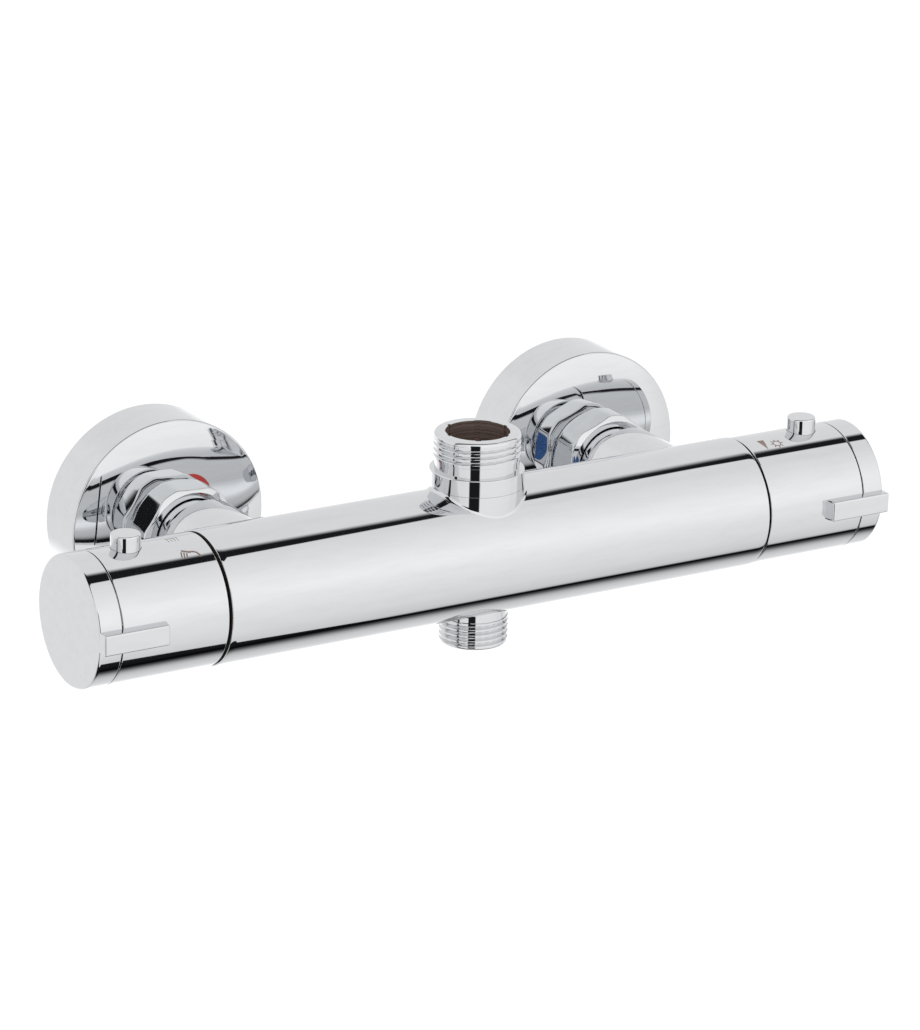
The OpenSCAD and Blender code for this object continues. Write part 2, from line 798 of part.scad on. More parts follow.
module valve_body() {
    color("silver")
        difference() {
            union() {
                at_bar() {
                    edged_rod_x(-body_end, body_end, body_d / 2, body_edge, body_edge);
                    rod_z(0, top_boss_h, top_collar_d / 2);
                }
                for (side = [-1, 1]) {
                    on_side(side)
                        rod_x(body_end - overrun, spigot_end, spigot_r);
                    inlet_boss(side);
                }
            }
            inlet_cuts(-1, hot_bore_stop);
            inlet_cuts(1, cold_bore_stop);
            at_bar() {
                // mixed water, thermostat's cavity, hot gallery
                rod_x(-flow_cavity_from - overrun, nose_cavity_from + overrun, mix_bore_d / 2);
                rod_x(nose_cavity_from, spigot_end, nose_cavity_r);
                rod_x(thermo_cavity_from, spigot_end + overrun, thermo_cavity_r);
                rod_x(hot_recess_from, hot_recess_to, thermo_cavity_r + hot_recess_depth);
                rod_x(recess_from, spigot_end + overrun, thermo_recess_r);
                translate([0, hot_gallery_y, inlet_rise])
                    rod_x(-inlet_x, hot_port_x, hot_gallery_d / 2);
                // flow cartridge's cavity
                rod_x(-spigot_end - overrun, -flow_cavity_from, flow_cavity_r);
                rod_x(-spigot_end - overrun, -recess_from, flow_recess_r);
                translate([-flow_port_x, 0, 0])
                    rod_z(-outlet_gallery_h, outlet_gallery_h, outlet_gallery_d / 2);
                for (h = [-outlet_gallery_h, outlet_gallery_h])
                    translate([0, 0, h])
                        rod_x(-flow_port_x, 0, outlet_gallery_d / 2);
                // seats of the two outlets
                rod_z(top_seat_h, top_boss_h + overrun, top_foot_bore_r);
                rod_z(-bottom_end_h, -bottom_foot_to + slip_gap, bottom_foot_d / 2 + slip_gap / 2);
                rod_z(-bottom_end_h, -bottom_seat_h, bottom_step_r + slip_gap / 2);
            }
        }
}

// ---- the outlets ----

module top_outlet() {
    color("gainsboro")
        at_bar()
            difference() {
                union() {
                    rod_z(top_foot_from, top_boss_h + overrun, top_foot_r);
                    rod_z(top_boss_h, top_collar_to, top_collar_d / 2);
                    rod_z(top_boss_h, top_neck_to, top_neck_d / 2);
                    translate([0, 0, top_neck_to])
                        thread_rod(top_thread_len, union_r, top_lead_in, top_rim_edge);
                }
                rod_z(top_foot_from - overrun, top_rim, top_foot_bore_d / 2);
                rod_z(top_rim - top_bore_depth, top_rim + overrun, top_bore_d / 2);
                for (i = [0 : key_count - 1])
                    rotate([0, 0, 360 / key_count * i])
                        translate([0, -key_w / 2, top_rim - key_len])
                            cube([top_bore_d / 2 + key_deep, key_w, key_len + overrun]);
                tube_z(top_seal_h - top_seal_w / 2, top_seal_h + top_seal_w / 2,
                    top_foot_r + overrun, top_foot_bore_r - seal_t);
            }
}

module top_outlet_seal() {
    color("black")
        at_bar()
            translate([0, 0, top_seal_h])
                rotate_extrude()
                    translate([top_foot_bore_r - seal_t / 2, 0])
                        circle(d = seal_t, $fn = 32);
}

module bottom_outlet() {
    color("gainsboro")
        at_bar()
            difference() {
                union() {
                    rod_z(-bottom_seat_h, -bottom_foot_to, bottom_foot_d / 2);
                    rod_z(-bottom_thread_from - overrun, -bottom_seat_h, bottom_step_r);
                    translate([0, 0, -bottom_thread_from])
                        rotate([180, 0, 0])
                            thread_rod(bottom_end_h - bottom_thread_from, wall_thread_d / 2,
                                bottom_lead_in, bottom_edge);
                }
                rod_z(-bottom_end_h - overrun, -bottom_foot_to + overrun, bottom_bore_d / 2);
                translate([0, 0, -outlet_gallery_h])
                    rod_x(-bottom_foot_d, 0, outlet_gallery_d / 2);
            }
}

// ---- the wall side ----

module wall_union(side) {
    at_inlet(side)
        difference() {
            union() {
                rod_w(union_step_to, union_len, union_r);
                rod_w(wall_thread_front, union_step_to + overrun, union_step_d / 2);
                translate([0, -wall_thread_front, 0])
                    rotate([-90, 0, 0])
                        thread_rod(wall_thread_front + wall_thread_depth, wall_thread_d / 2,
                            bottom_lead_in, bottom_edge);
            }
            rod_w(-wall_thread_depth - overrun, union_len, union_bore_d / 2);
            translate([0, -union_len - overrun, 0])
                rotate([-90, 0, 0])
                    cylinder(d = union_key_af / cos(30), h = union_key_depth + overrun, $fn = 6);
        }
}

module hot_wall_union() {
    color("tan") wall_union(-1);
}

module cold_wall_union() {
    color("tan") wall_union(1);
}

// How far the plate's front has fallen at a distance from its middle: little at first, then fast.
function plate_fall(x) = plate_dome * pow(x / plate_r, 4);

// A domed disc with a rounded rim, from a depth behind the plate's front to the wall.
module domed_disc(r, edge, behind, to) {
    turn = atan(4 * plate_fall(r - edge) / (r - edge));
    front_r = r - edge + edge * sin(turn);
    translate([0, -plate_depth, 0])
        rotate([-90, 0, 0])
            rotate_extrude()
                polygon(concat(
                    [for (i = [0 : dome_steps - 1])
                        let (x = front_r * i / dome_steps)
                        [x, behind + plate_fall(x)]],
                    arc([r - edge, behind + plate_fall(front_r) + edge * cos(turn)], edge, turn - 90, 0),
                    [[r, to], [0, to]]
                ));
}

module wall_plate(side) {
    at_inlet(side)
        difference() {
            union() {
                difference() {
                    domed_disc(plate_r, plate_edge, 0, plate_depth);
                    domed_disc(plate_r - plate_side, overrun, plate_front, plate_depth + overrun);
                }
                rod_w(plate_collar_to, plate_depth - plate_front, plate_collar_r);
            }
            rod_w(0 - overrun, plate_depth + overrun, plate_hole_r);
            plate_seal_cut();
        }
}

module plate_seal_cut() {
    w = plate_seal_t * seal_groove_share;
    rod_w(plate_seal_d - w / 2, plate_seal_d + w / 2, union_r + plate_seal_t);
}

module hot_wall_plate() {
    color("silver") wall_plate(-1);
}

module cold_wall_plate() {
    color("silver") wall_plate(1);
}

module wall_plate_seals() {
    color("black")
        for (side = [-1, 1])
            at_inlet(side)
                translate([0, -plate_seal_d, 0])
                    rotate([90, 0, 0])
                        rotate_extrude()
                            translate([union_r + plate_seal_t / 2, 0])
                                circle(d = plate_seal_t, $fn = 32);
}

module nut_retaining_rings() {
    color("dimgray")
        for (side = [-1, 1])
            at_inlet(side)
                difference() {
                    tube_w(clip_from, clip_to, clip_r, clip_groove_d / 2);
                    translate([-clip_opening / 2, -clip_to - overrun, -clip_r - overrun])
                        cube([clip_opening, clip_t + 2 * overrun, clip_r]);
                }
}

module inlet_strainers() {
    mesh_from = (union_len + stub_end) / 2 - mesh_t / 2;
    color("black")
        for (side = [-1, 1])
            at_inlet(side) {
                tube_w(union_len, stub_end, stub_r, washer_bore_d / 2);
                difference() {
                    rod_w(mesh_from, mesh_from + mesh_t, washer_bore_d / 2 + slip_gap);
                    rod_w(mesh_from - overrun, mesh_from + mesh_t + overrun, mesh_hole_d / 2);
                    for (ring = [1, 2])
                        for (i = [0 : ring * 6 - 1])
                            rotate([0, 60 / ring * i, 0])
                                translate([mesh_step * ring, 0, 0])
                                    rod_w(mesh_from - overrun, mesh_from + mesh_t + overrun,
                                        mesh_hole_d / 2);
                }
            }
}

module check_valve_cages() {
    flow_r = (poppet_spring_d / 2 + small_wire + cage_r - cage_wall) / 2;
    color("ivory")
        for (side = [-1, 1])
            at_inlet(side)
                difference() {
                    rod_w(cage_rear, cage_front, cage_r);
                    rod_w(cage_rear - overrun, cage_seat + overrun, seat_d / 2);
                    rod_w(cage_seat, cage_guide, cage_r - cage_wall);
                    rod_w(cage_guide - overrun, cage_front + overrun,
                        poppet_stem_d / 2 + run_gap);
                    for (i = [0 : 3])
                        rotate([0, 90 * i, 0])
                            translate([flow_r, 0, 0])
                                rod_w(cage_guide - overrun, cage_front + overrun,
                                    cage_flow_d / 2);
                }
}

module check_poppet(side) {
    at_inlet(side) {
        rod_w(cage_rear + overrun, cage_seat + overrun, seat_d / 2 - part_gap - slip_gap);
        rod_w(cage_seat, poppet_front, poppet_d / 2);
        rod_w(cage_seat, poppet_stem_to, poppet_stem_d / 2);
    }
}

module hot_check_poppet() {
    color("orange") check_poppet(-1);
}

module cold_check_poppet() {
    color("orange") check_poppet(1);
}

module check_spring(side) {
    at_inlet(side)
        tube_w(poppet_front, cage_guide, poppet_spring_d / 2 + small_wire, poppet_spring_d / 2);
}

module hot_check_spring() {
    color("lightgray") check_spring(-1);
}

module cold_check_spring() {
    color("lightgray") check_spring(1);
}

// ---- the union nuts ----

module union_nut(side, flat) {
    front_chamfer = (nut_turned_r - nut_front_d / 2) * nut_chamfer_share;
    rear_chamfer = (nut_turned_r - nut_rear_d / 2) * nut_chamfer_share;
    at_inlet(side)
        difference() {
            translate([0, -nut_front, 0])
                rotate([-90, 0, 0])
                    intersection() {
                        rotate([0, 0, 30 - flat])
                            cylinder(r = nut_corner_r, h = nut_len, $fn = 6);
                        rotate_extrude()
                            polygon([
                                [0, 0],
                                [nut_front_d / 2, 0],
                                [nut_turned_r, front_chamfer],
                                [nut_turned_r, nut_len - rear_chamfer],
                                [nut_rear_d / 2, nut_len],
                                [0, nut_len]
                            ]);
                    }
            rod_w(nut_rear - overrun, nut_chamber_to, nut_chamber_r);
            rod_w(nut_chamber_to - overrun, nut_front + overrun, nut_lip_r);
        }
}

module hot_union_nut() {
    color("silver") union_nut(-1, hot_nut_flat);
}

module cold_union_nut() {
    color("silver") union_nut(1, cold_nut_flat);
}

// ---- the thermostatic cartridge ----

module thermo_cartridge_nose() {
    color("ivory")
        on_side(1)
            difference() {
                union() {
                    rod_x(nose_from, thermo_from, nose_r);
                    rod_x(nose_from, nose_thread_to, nose_thread_r);
                }
                rod_x(nose_from - overrun, nose_thread_to, mix_bore_d / 2);
                rod_x(nose_floor, nose_thread_to + overrun, nose_bore_r);
                seal_groove_x(nose_seal_x, nose_cavity_r, seal_t);
            }
}

module thermo_cartridge_housing() {
    color("ivory")
        on_side(1)
            difference() {
                union() {
                    rod_x(thermo_from, recess_from + overrun, thermo_r);
                    rod_x(recess_from, nut_from, thermo_recess_r - slip_gap);
                    rod_x(recess_from, neck_end, neck_r);
                }
                rod_x(thermo_from - overrun, chamber_to, chamber_r);
                rod_x(chamber_to - overrun, neck_end + overrun, spindle_r + run_gap);
                ports_x(hot_port_x, hot_port_d, thermo_r + overrun, port_count);
                ports_x(inlet_x, cold_port_d, thermo_r + overrun, port_count);
                tube_x(inlet_x - cold_groove_w / 2, inlet_x + cold_groove_w / 2,
                    thermo_r + overrun, thermo_r - cold_groove_depth);
                seal_groove_x(middle_seal_x, thermo_cavity_r, seal_t);
                seal_groove_x(outer_seal_x, thermo_cavity_r, seal_t);
                neck_seal_groove();
            }
}

// The groove inside a neck for the ring around the spindle.
module neck_seal_groove() {
    w = seal_t * seal_groove_share;
    rod_x(neck_seal_x - w / 2, neck_seal_x + w / 2, spindle_r + run_gap / 2 + seal_t);
}

module neck_seal() {
    seal_x(neck_seal_x, spindle_r + run_gap / 2 + seal_t, seal_t);
}

module cartridge_nut(r) {
    slot_reach = (r - cartridge_nut_bore_d / 2) / 2;
    difference() {
        tube_x(nut_from, spigot_end, r, cartridge_nut_bore_d / 2);
        for (i = [0 : nut_slot_count - 1])
            rotate([360 / nut_slot_count * i, 0, 0])
                translate([spigot_end - nut_slot_depth, -nut_slot_w / 2,
                    cartridge_nut_bore_d / 2 - overrun])
                    cube([nut_slot_depth + overrun, nut_slot_w, slot_reach + overrun]);
    }
}

module thermo_cartridge_nut() {
    color("tan") on_side(1) cartridge_nut(thermo_recess_r - slip_gap / 2);
}

module thermo_seals() {
    color("black")
        on_side(1) {
            seal_x(nose_seal_x, nose_cavity_r, seal_t);
            seal_x(middle_seal_x, thermo_cavity_r, seal_t);
            seal_x(outer_seal_x, thermo_cavity_r, seal_t);
            neck_seal();
        }
}

module thermo_piston() {
    color("gray")
        on_side(1)
            difference() {
                union() {
                    tube_x(piston_from, piston_to, piston_r, piston_bore_r);
                    rod_x(web_from, web_to, piston_bore_r + slip_gap);
                    rod_x(piston_hub_from, piston_hub_to, piston_hub_d / 2);
                }
                rod_x(piston_hub_from - overrun, piston_hub_to + overrun, wax_bore_r);
                for (i = [0 : web_hole_count - 1])
                    rotate([360 / web_hole_count * i, 0, 0])
                        translate([0, 0, web_hole_r])
                            rod_x(web_from - overrun, web_to + overrun, web_hole_d / 2);
            }
}

module wax_element() {
    color("peru")
        on_side(1) {
            rod_x(wax_from, wax_to, wax_d / 2);
            rod_x(wax_to - overrun, pusher_flange_from, wax_pin_d / 2);
        }
}

module thermo_pusher() {
    color("ivory")
        on_side(1) {
            rod_x(pusher_flange_from, pusher_from, pusher_flange_d / 2);
            rod_x(pusher_flange_from, pusher_from + pusher_screw_len, pusher_screw_r);
        }
}

module thermo_return_spring() {
    color("lightgray")
        on_side(1)
            tube_x(nose_floor, web_from, return_spring_r, return_spring_r - return_wire);
}

module thermo_spindle() {
    color("tan")
        on_side(1)
            difference() {
                union() {
                    rod_x(pusher_socket_from, pusher_socket_to, pusher_socket_r);
                    rod_x(pusher_socket_to - overrun, socket_from, spindle_r);
                    flatted_rod_x(socket_from - overrun, spindle_end, spindle_r, spindle_af);
                }
                rod_x(pusher_socket_from - overrun, pusher_socket_bore_to,
                    pusher_screw_r + run_gap);
                rod_x(hub_screw_tip - overrun, spindle_end + overrun, hub_screw_d / 2);
            }
}

// ---- the flow cartridge, drawn on the right and mirrored ----

module flow_cartridge_nose() {
    color("ivory")
        on_side(-1)
            difference() {
                rod_x(flow_from, flow_nose_to, flow_r);
                rod_x(flow_from - overrun, flow_nose_to + overrun, flow_inlet_d / 2);
                for (up = [-1, 1]) {
                    translate([0, 0, up * flow_port_r])
                        rod_x(flow_pocket_from, flow_nose_to + overrun, flow_port_d / 2);
                    rotate([up * 90 - 90, 0, 0])
                        translate([flow_port_x, 0, flow_port_r])
                            cylinder(d = flow_side_port_d, h = flow_r);
                }
                seal_groove_x(flow_nose_seal_x, flow_cavity_r, seal_t);
            }
}

module flow_cartridge_housing() {
    color("ivory")
        on_side(-1)
            difference() {
                union() {
                    rod_x(flow_nose_to, recess_from + overrun, flow_r);
                    rod_x(recess_from, nut_from, flow_flange_r);
                    rod_x(recess_from, neck_end, neck_r);
                }
                rod_x(flow_nose_to - overrun, flow_chamber_to, flow_chamber_r);
                rod_x(flow_chamber_to - overrun, neck_end + overrun, spindle_r + run_gap);
                seal_groove_x(inlet_x + overrun, flow_cavity_r, seal_t);
                neck_seal_groove();
            }
}

module flow_cartridge_nut() {
    color("tan") on_side(-1) cartridge_nut(flow_recess_r - slip_gap / 2);
}

module flow_seals() {
    color("black")
        on_side(-1) {
            seal_x(flow_nose_seal_x, flow_cavity_r, seal_t);
            seal_x(inlet_x + overrun, flow_cavity_r, seal_t);
            neck_seal();
        }
}

module flow_fixed_disc() {
    color("white")
        on_side(-1)
            difference() {
                rod_x(flow_nose_to, fixed_disc_to, disc_r);
                rod_x(flow_nose_to - overrun, fixed_disc_to + overrun, flow_inlet_d / 2);
                for (up = [-1, 1])
                    translate([0, 0, up * flow_port_r])
                        rod_x(flow_nose_to - overrun, fixed_disc_to + overrun,
                            flow_port_d / 2 - slip_gap);
            }
}

module flow_turning_disc() {
    reach = flow_port_r + flow_port_d / 2 - slip_gap - slip_gap;
    color("whitesmoke")
        on_side(-1)
            difference() {
                rod_x(fixed_disc_to, turning_disc_to, disc_r);
                rod_x(fixed_disc_to - overrun, fixed_disc_to + channel_depth, channel_w / 2);
                translate([fixed_disc_to - overrun, -reach, -channel_w / 2])
                    cube([channel_depth + overrun, reach, channel_w]);
                for (back = [-1, 1])
                    translate([0, 0, back * dog_r])
                        rod_x(turning_disc_to - dog_len, turning_disc_to + overrun,
                            dog_d / 2 + slip_gap / 2);
            }
}

module flow_spindle() {
    color("tan")
        on_side(-1)
            difference() {
                union() {
                    rod_x(turning_disc_to, flow_head_to, disc_r - slip_gap);
                    for (back = [-1, 1])
                        translate([0, 0, back * dog_r])
                            rod_x(turning_disc_to - dog_len, turning_disc_to + overrun,
                                dog_d / 2);
                    rod_x(flow_head_to - overrun, socket_from, spindle_r);
                    flatted_rod_x(socket_from - overrun, spindle_end, spindle_r, spindle_af);
                }
                rod_x(hub_screw_tip - overrun, spindle_end + overrun, hub_screw_d / 2);
            }
}

// ---- the handles, drawn on the right ----

// A ring on the neck. The button's stem travels in its window.
module stop_ring(from, to) {
    difference() {
        union() {
            rod_x(stop_from, stop_rim_from, stop_ring_r);
            tube_x(stop_rim_from - overrun, stop_rim_to, stop_ring_r, stop_rim_bore_r);
        }
        rod_x(stop_from - overrun, stop_rim_from + overrun, neck_r + slip_gap / 2);
        rotate([from + 90, 0, 0])
            translate([button_x - stop_window_w / 2, 0, 0])
                rotate([90, 0, 90])
                    rotate_extrude(angle = to - from)
                        translate([stop_rim_bore_r - overrun, 0])
                            square([stop_ring_wall + 2 * overrun, stop_window_w]);
    }
}

module handle_sleeve() {
    difference() {
        edged_rod_x(handle_from, sleeve_to, handle_r, sleeve_edge, sleeve_edge);
        rod_x(handle_from - overrun, sleeve_to + overrun, sleeve_bore_r);
        translate([button_x, 0, 0])
            cylinder(d = button_d + 2 * button_play, h = handle_d);
        for (x = lever_pins)
            translate([x, 0, 0])
                rotate([90, 0, 0])
                    cylinder(d = lever_pin_d + slip_gap, h = handle_d);
    }
}

module handle_cap() {
    difference() {
        union() {
            edged_rod_x(cap_from, cap_to, handle_r, sleeve_edge, cap_edge);
            rod_x(cap_spigot_from, cap_from + overrun, sleeve_bore_r - slip_gap);
        }
        rod_x(cap_spigot_from - overrun, cap_to - cap_wall, cap_bore_r);
    }
}

// The outline of a lever seen along one direction.
module lever_outline(w, h) {
    c = lever_corner;
    polygon(concat(
        arc([w - c, h - c], c, 0, 90),
        arc([c, h - c], c, 90, 180),
        arc([c, c], c, 180, 270),
        arc([w - c, c], c, 270, 360)
    ));
}

module handle_lever() {
    difference() {
        intersection() {
            translate([lever_from, -lever_front, -lever_h / 2])
                rotate([90, 0, 0])
                    translate([0, 0, -lever_front])
                        linear_extrude(lever_front)
                            lever_outline(lever_len, lever_h);
            translate([lever_from, -lever_front, -lever_h / 2])
                linear_extrude(lever_h)
                    lever_outline(lever_len, lever_front);
            translate([lever_from, -lever_front, -lever_h / 2])
                rotate([90, 0, 90])
                    linear_extrude(lever_len)
                        lever_outline(lever_front, lever_h);
        }
        rod_x(handle_from, cap_to + overrun, handle_r + slip_gap / 2);
    }
    for (x = lever_pins)
        translate([x, 0, 0])
            rotate([90, 0, 0])
                translate([0, 0, sleeve_bore_r - slip_gap])
                    cylinder(d = lever_pin_d, h = lever_front - sleeve_bore_r - lever_corner);
}

module handle_hub() {
    difference() {
        union() {
            rod_x(hub_disc_from, hub_to, sleeve_bore_r - slip_gap);
            rod_x(socket_from, hub_to, hub_socket_d / 2);
            translate([button_x - button_flange_d / 2, -shelf_w / 2, shelf_bottom])
                cube([hub_disc_from + overrun - button_x + button_flange_d / 2, shelf_w, shelf_t]);
        }
        flatted_rod_x(socket_from - overrun, spindle_end + slip_gap, spindle_r + slip_gap / 2,
            spindle_af + slip_gap);
        rod_x(spindle_end, hub_to + overrun, hub_screw_d / 2 + slip_gap);
        translate([button_x, 0, 0])
            rod_z(hub_socket_d / 2 + overrun, flange_bottom, button_stem_d / 2 + run_gap);
    }
}

module hub_screw() {
    rod_x(hub_screw_tip, hub_to + overrun, hub_screw_d / 2 - slip_gap / 5);
    difference() {
        rod_x(hub_to, hub_to + hub_screw_head_h, hub_screw_head_d / 2);
        translate([hub_to + hub_screw_head_h / 2, 0, 0])
            rotate([0, 90, 0])
                cylinder(d = hub_screw_d, h = hub_screw_head_h, $fn = 6);
    }
}

module stop_button() {
    translate([button_x, 0, 0]) {
        translate([0, 0, flange_bottom])
            edged_rod(handle_r + button_stand - flange_bottom, button_d / 2, button_flange_t / 4,
                button_edge);
        rod_z(flange_bottom, flange_top, button_flange_d / 2);
        rod_z(stem_bottom, flange_top, button_stem_d / 2);
    }
}

module button_spring() {
    translate([button_x, 0, 0])
        tube_z(shelf_top, flange_bottom, button_spring_d / 2 + small_wire, button_spring_d / 2);
}

module temperature_stop_ring() {
    color("white")
        on_side(1)
            stop_ring(-cold_travel - stop_window_spare, hot_travel + stop_window_spare);
}

module temperature_sleeve() {
    color("silver") on_side(1) handle_sleeve();
}

module temperature_cap() {
    color("silver") on_side(1) handle_cap();
}

module temperature_lever() {
    color("silver") on_side(1) handle_lever();
}

module temperature_hub() {
    color("white") on_side(1) handle_hub();
}

module temperature_hub_screw() {
    color("dimgray") on_side(1) hub_screw();
}

module temperature_button() {
    color("silver") on_side(1) stop_button();
}

module temperature_button_spring() {
    color("lightgray") on_side(1) button_spring();
}

module flow_stop_ring() {
    color("white")
        on_side(-1)
            stop_ring(-flow_travel - stop_window_spare, flow_travel + stop_window_spare);
}

module flow_sleeve() {
    color("silver") on_side(-1) handle_sleeve();
}

module flow_cap() {
    color("silver") on_side(-1) handle_cap();
}

module flow_lever() {
    color("silver") on_side(-1) handle_lever();
}

module flow_hub() {
    color("white") on_side(-1) handle_hub();
}

module flow_hub_screw() {
    color("dimgray") on_side(-1) hub_screw();
}

module flow_button() {
    color("silver") on_side(-1) stop_button();
}

module flow_button_spring() {
    color("lightgray") on_side(-1) button_spring();
}

// ---- the marks on the back of the bar ----

// A thin round label that follows the bar's surface.
module bar_mark(x) {
    at_bar()
        intersection() {
            tube_x(x - mark_d, x + mark_d, mark_bed_r + mark_t, mark_bed_r);
            translate([x, 0, -mark_drop])
                rotate([-90, 0, 0])
                    cylinder(d = mark_d, h = body_d);
        }
}

module hot_mark() {
    color("red") bar_mark(-inlet_x + hot_mark_inset);
}

module cold_mark() {
    color("royalblue") bar_mark(inlet_x - cold_mark_inset);
}

valve_body();
top_outlet();
top_outlet_seal();
bottom_outlet();
hot_wall_union();
cold_wall_union();
hot_wall_plate();
cold_wall_plate();
wall_plate_seals();
nut_retaining_rings();
inlet_strainers();
check_valve_cages();
hot_union_nut();
cold_union_nut();
hot_check_poppet();
cold_check_poppet();
hot_check_spring();
cold_check_spring();
thermo_cartridge_nose();
thermo_cartridge_housing();
thermo_cartridge_nut();
thermo_seals();
thermo_piston();
wax_element();
thermo_pusher();
thermo_return_spring();
thermo_spindle();
temperature_stop_ring();
temperature_sleeve();
temperature_cap();
temperature_lever();
temperature_hub();
temperature_hub_screw();
temperature_button();
temperature_button_spring();
flow_cartridge_nose();
flow_cartridge_housing();
flow_cartridge_nut();
flow_seals();
flow_fixed_disc();
flow_turning_disc();
flow_spindle();
flow_stop_ring();
flow_sleeve();
flow_cap();
flow_lever();
flow_hub();
flow_hub_screw();
flow_button();
flow_button_spring();
hot_mark();
cold_mark();
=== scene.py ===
# %% [markdown]
# # A thermostatic shower valve in polished chrome
#
# The valve is a horizontal bar that hangs in front of a bathroom wall on two inlets.
# Each end of the bar is a handle: flow on the left, temperature on the right.
# Every surface is a mirror, so two things decide the picture: how clean each
# surface is, and what stands around it to be reflected. This lesson makes the
# pieces first, then the finishes, then the room of light that they mirror.

# %% Load the measured solids
import json
import math
import bmesh
import bpy
from mathutils import Matrix, Vector


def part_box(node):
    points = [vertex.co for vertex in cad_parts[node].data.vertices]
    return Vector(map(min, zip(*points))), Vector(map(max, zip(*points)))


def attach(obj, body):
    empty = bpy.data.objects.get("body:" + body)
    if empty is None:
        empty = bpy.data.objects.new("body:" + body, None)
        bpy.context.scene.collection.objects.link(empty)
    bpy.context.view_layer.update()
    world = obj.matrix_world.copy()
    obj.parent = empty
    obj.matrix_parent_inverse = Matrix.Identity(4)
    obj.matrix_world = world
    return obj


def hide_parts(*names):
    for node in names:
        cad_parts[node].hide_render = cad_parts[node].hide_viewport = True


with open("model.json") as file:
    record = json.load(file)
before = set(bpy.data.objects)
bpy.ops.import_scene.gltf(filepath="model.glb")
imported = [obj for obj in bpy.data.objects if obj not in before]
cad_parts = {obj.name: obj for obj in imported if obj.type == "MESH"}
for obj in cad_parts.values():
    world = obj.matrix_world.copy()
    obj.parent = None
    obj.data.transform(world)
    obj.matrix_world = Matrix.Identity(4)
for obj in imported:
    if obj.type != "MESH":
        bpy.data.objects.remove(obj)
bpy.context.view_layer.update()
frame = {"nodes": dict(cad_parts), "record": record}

# %% [markdown]
# ## Measures
#
# The bar's axis and the inlets are read from the solids' own boxes, so the
# dressing stands where the solids stand. The bar's axis runs along X, and the
# wall is the plane Y = 0. The pieces' own sizes follow with each piece, in mm.

# %% Read the main places
MM = 0.001
sleeve_low, sleeve_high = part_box("temperature_sleeve")
bar_y = (sleeve_low.y + sleeve_high.y) / 2
bar_z = (sleeve_low.z + sleeve_high.z) / 2
plate_low, plate_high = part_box("cold_wall_plate")
inlet_x = (plate_low.x + plate_high.x) / 2
side_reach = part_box("temperature_cap")[1].x
highest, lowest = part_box("top_outlet")[1].z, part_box("bottom_outlet")[0].z
print("bar axis y, z:", round(bar_y, 4), round(bar_z, 4), "inlets at x: +/-", round(inlet_x, 4))
print("reach to the side:", round(side_reach, 4), "lowest, highest z:", round(lowest, 4), round(highest, 4))

# %% [markdown]
# ## The camera
#
# The picture was taken from the left and a little above, with a long lens. The
# angles were found by fitting the circles of the handles, nuts and plates. The
# camera comes early, so that every later look can be judged through it.

# %% Set the camera
DISTANCE = 1.47936  # m, from the point it aims at
FOCAL_LENGTH, PICTURE_HEIGHT = 4911.8, 1030  # both in pixels of the photograph
turn, drop, roll = (math.radians(a) for a in (31.27, 19.24, 1.27))
forward = Vector((math.sin(turn) * math.cos(drop), math.cos(turn) * math.cos(drop), -math.sin(drop)))
right = Vector((math.cos(turn), -math.sin(turn), 0))
up = right.cross(forward)
right, up = (right * math.cos(roll) + up * math.sin(roll),
             up * math.cos(roll) - right * math.sin(roll))
aim = Vector((-5.56 * MM, bar_y, bar_z + 11.6 * MM))
lens_data = bpy.data.cameras.new("long_lens")
lens_data.sensor_width = 36
lens_data.lens = FOCAL_LENGTH * lens_data.sensor_width / PICTURE_HEIGHT
camera = bpy.data.objects.new("camera", lens_data)
camera.matrix_world = Matrix((
    (right.x, up.x, -forward.x, aim.x - forward.x * DISTANCE),
    (right.y, up.y, -forward.y, aim.y - forward.y * DISTANCE),
    (right.z, up.z, -forward.z, aim.z - forward.z * DISTANCE),
    (0, 0, 0, 1)))
bpy.context.scene.collection.objects.link(camera)
bpy.context.scene.camera = camera
print("lens:", round(lens_data.lens, 2), "mm")

# %% [markdown]
# ## Turned pieces
#
# Most of this valve came off a lathe: sleeves, caps, plates, collars. A turned
# piece is an outline spun round an axis. A modelled cylinder with a bevel would
# do too, but an outline gives each corner its own small radius, and on chrome
# that radius is what catches the thin bright line along every edge.

# %% Round the corners of an outline
def rounded(outline, closed=True, steps=5):
    """outline: (along, radius, rounding) corners in mm. Returns (along, radius) points.

    A point just beyond each rounding keeps its shading out of the flat beside it,
    where that flat is long enough.
    """
    beyond, long_enough = 0.08, 0.5
    points, n = [], len(outline)
    for i, corner in enumerate(outline):
        here, rounding = Vector(corner[:2]), corner[2] if len(corner) > 2 else 0
        if rounding <= 0 or (not closed and i in (0, n - 1)):
            points.append((here.x, here.y))
            continue
        to_last = Vector(outline[i - 1][:2]) - here
        to_next = Vector(outline[(i + 1) % n][:2]) - here
        before, after = to_last.normalized(), to_next.normalized()
        half = before.angle(after) / 2
        reach = rounding / math.tan(half)
        one, two = here + before * rounding / math.tan(half), here + after * rounding / math.tan(half)
        centre = here + (before + after).normalized() * rounding / math.sin(half)
        if to_last.length > reach + long_enough:
            points.append(tuple(one + before * beyond))
        for k in range(steps + 1):  # slerp gives a direction of length 1
            spoke = centre + (one - centre).slerp(two - centre, k / steps) * rounding
            points.append((spoke.x, spoke.y))
        if to_next.length > reach + long_enough:
            points.append(tuple(two + after * beyond))
    return points


print("one corner becomes", len(rounded([(0, 0), (0, 1, 0.2), (1, 1)], False)) - 2, "points")


# %% Spin an outline
ROUND = [2 * math.pi * t / 192 for t in range(192)]


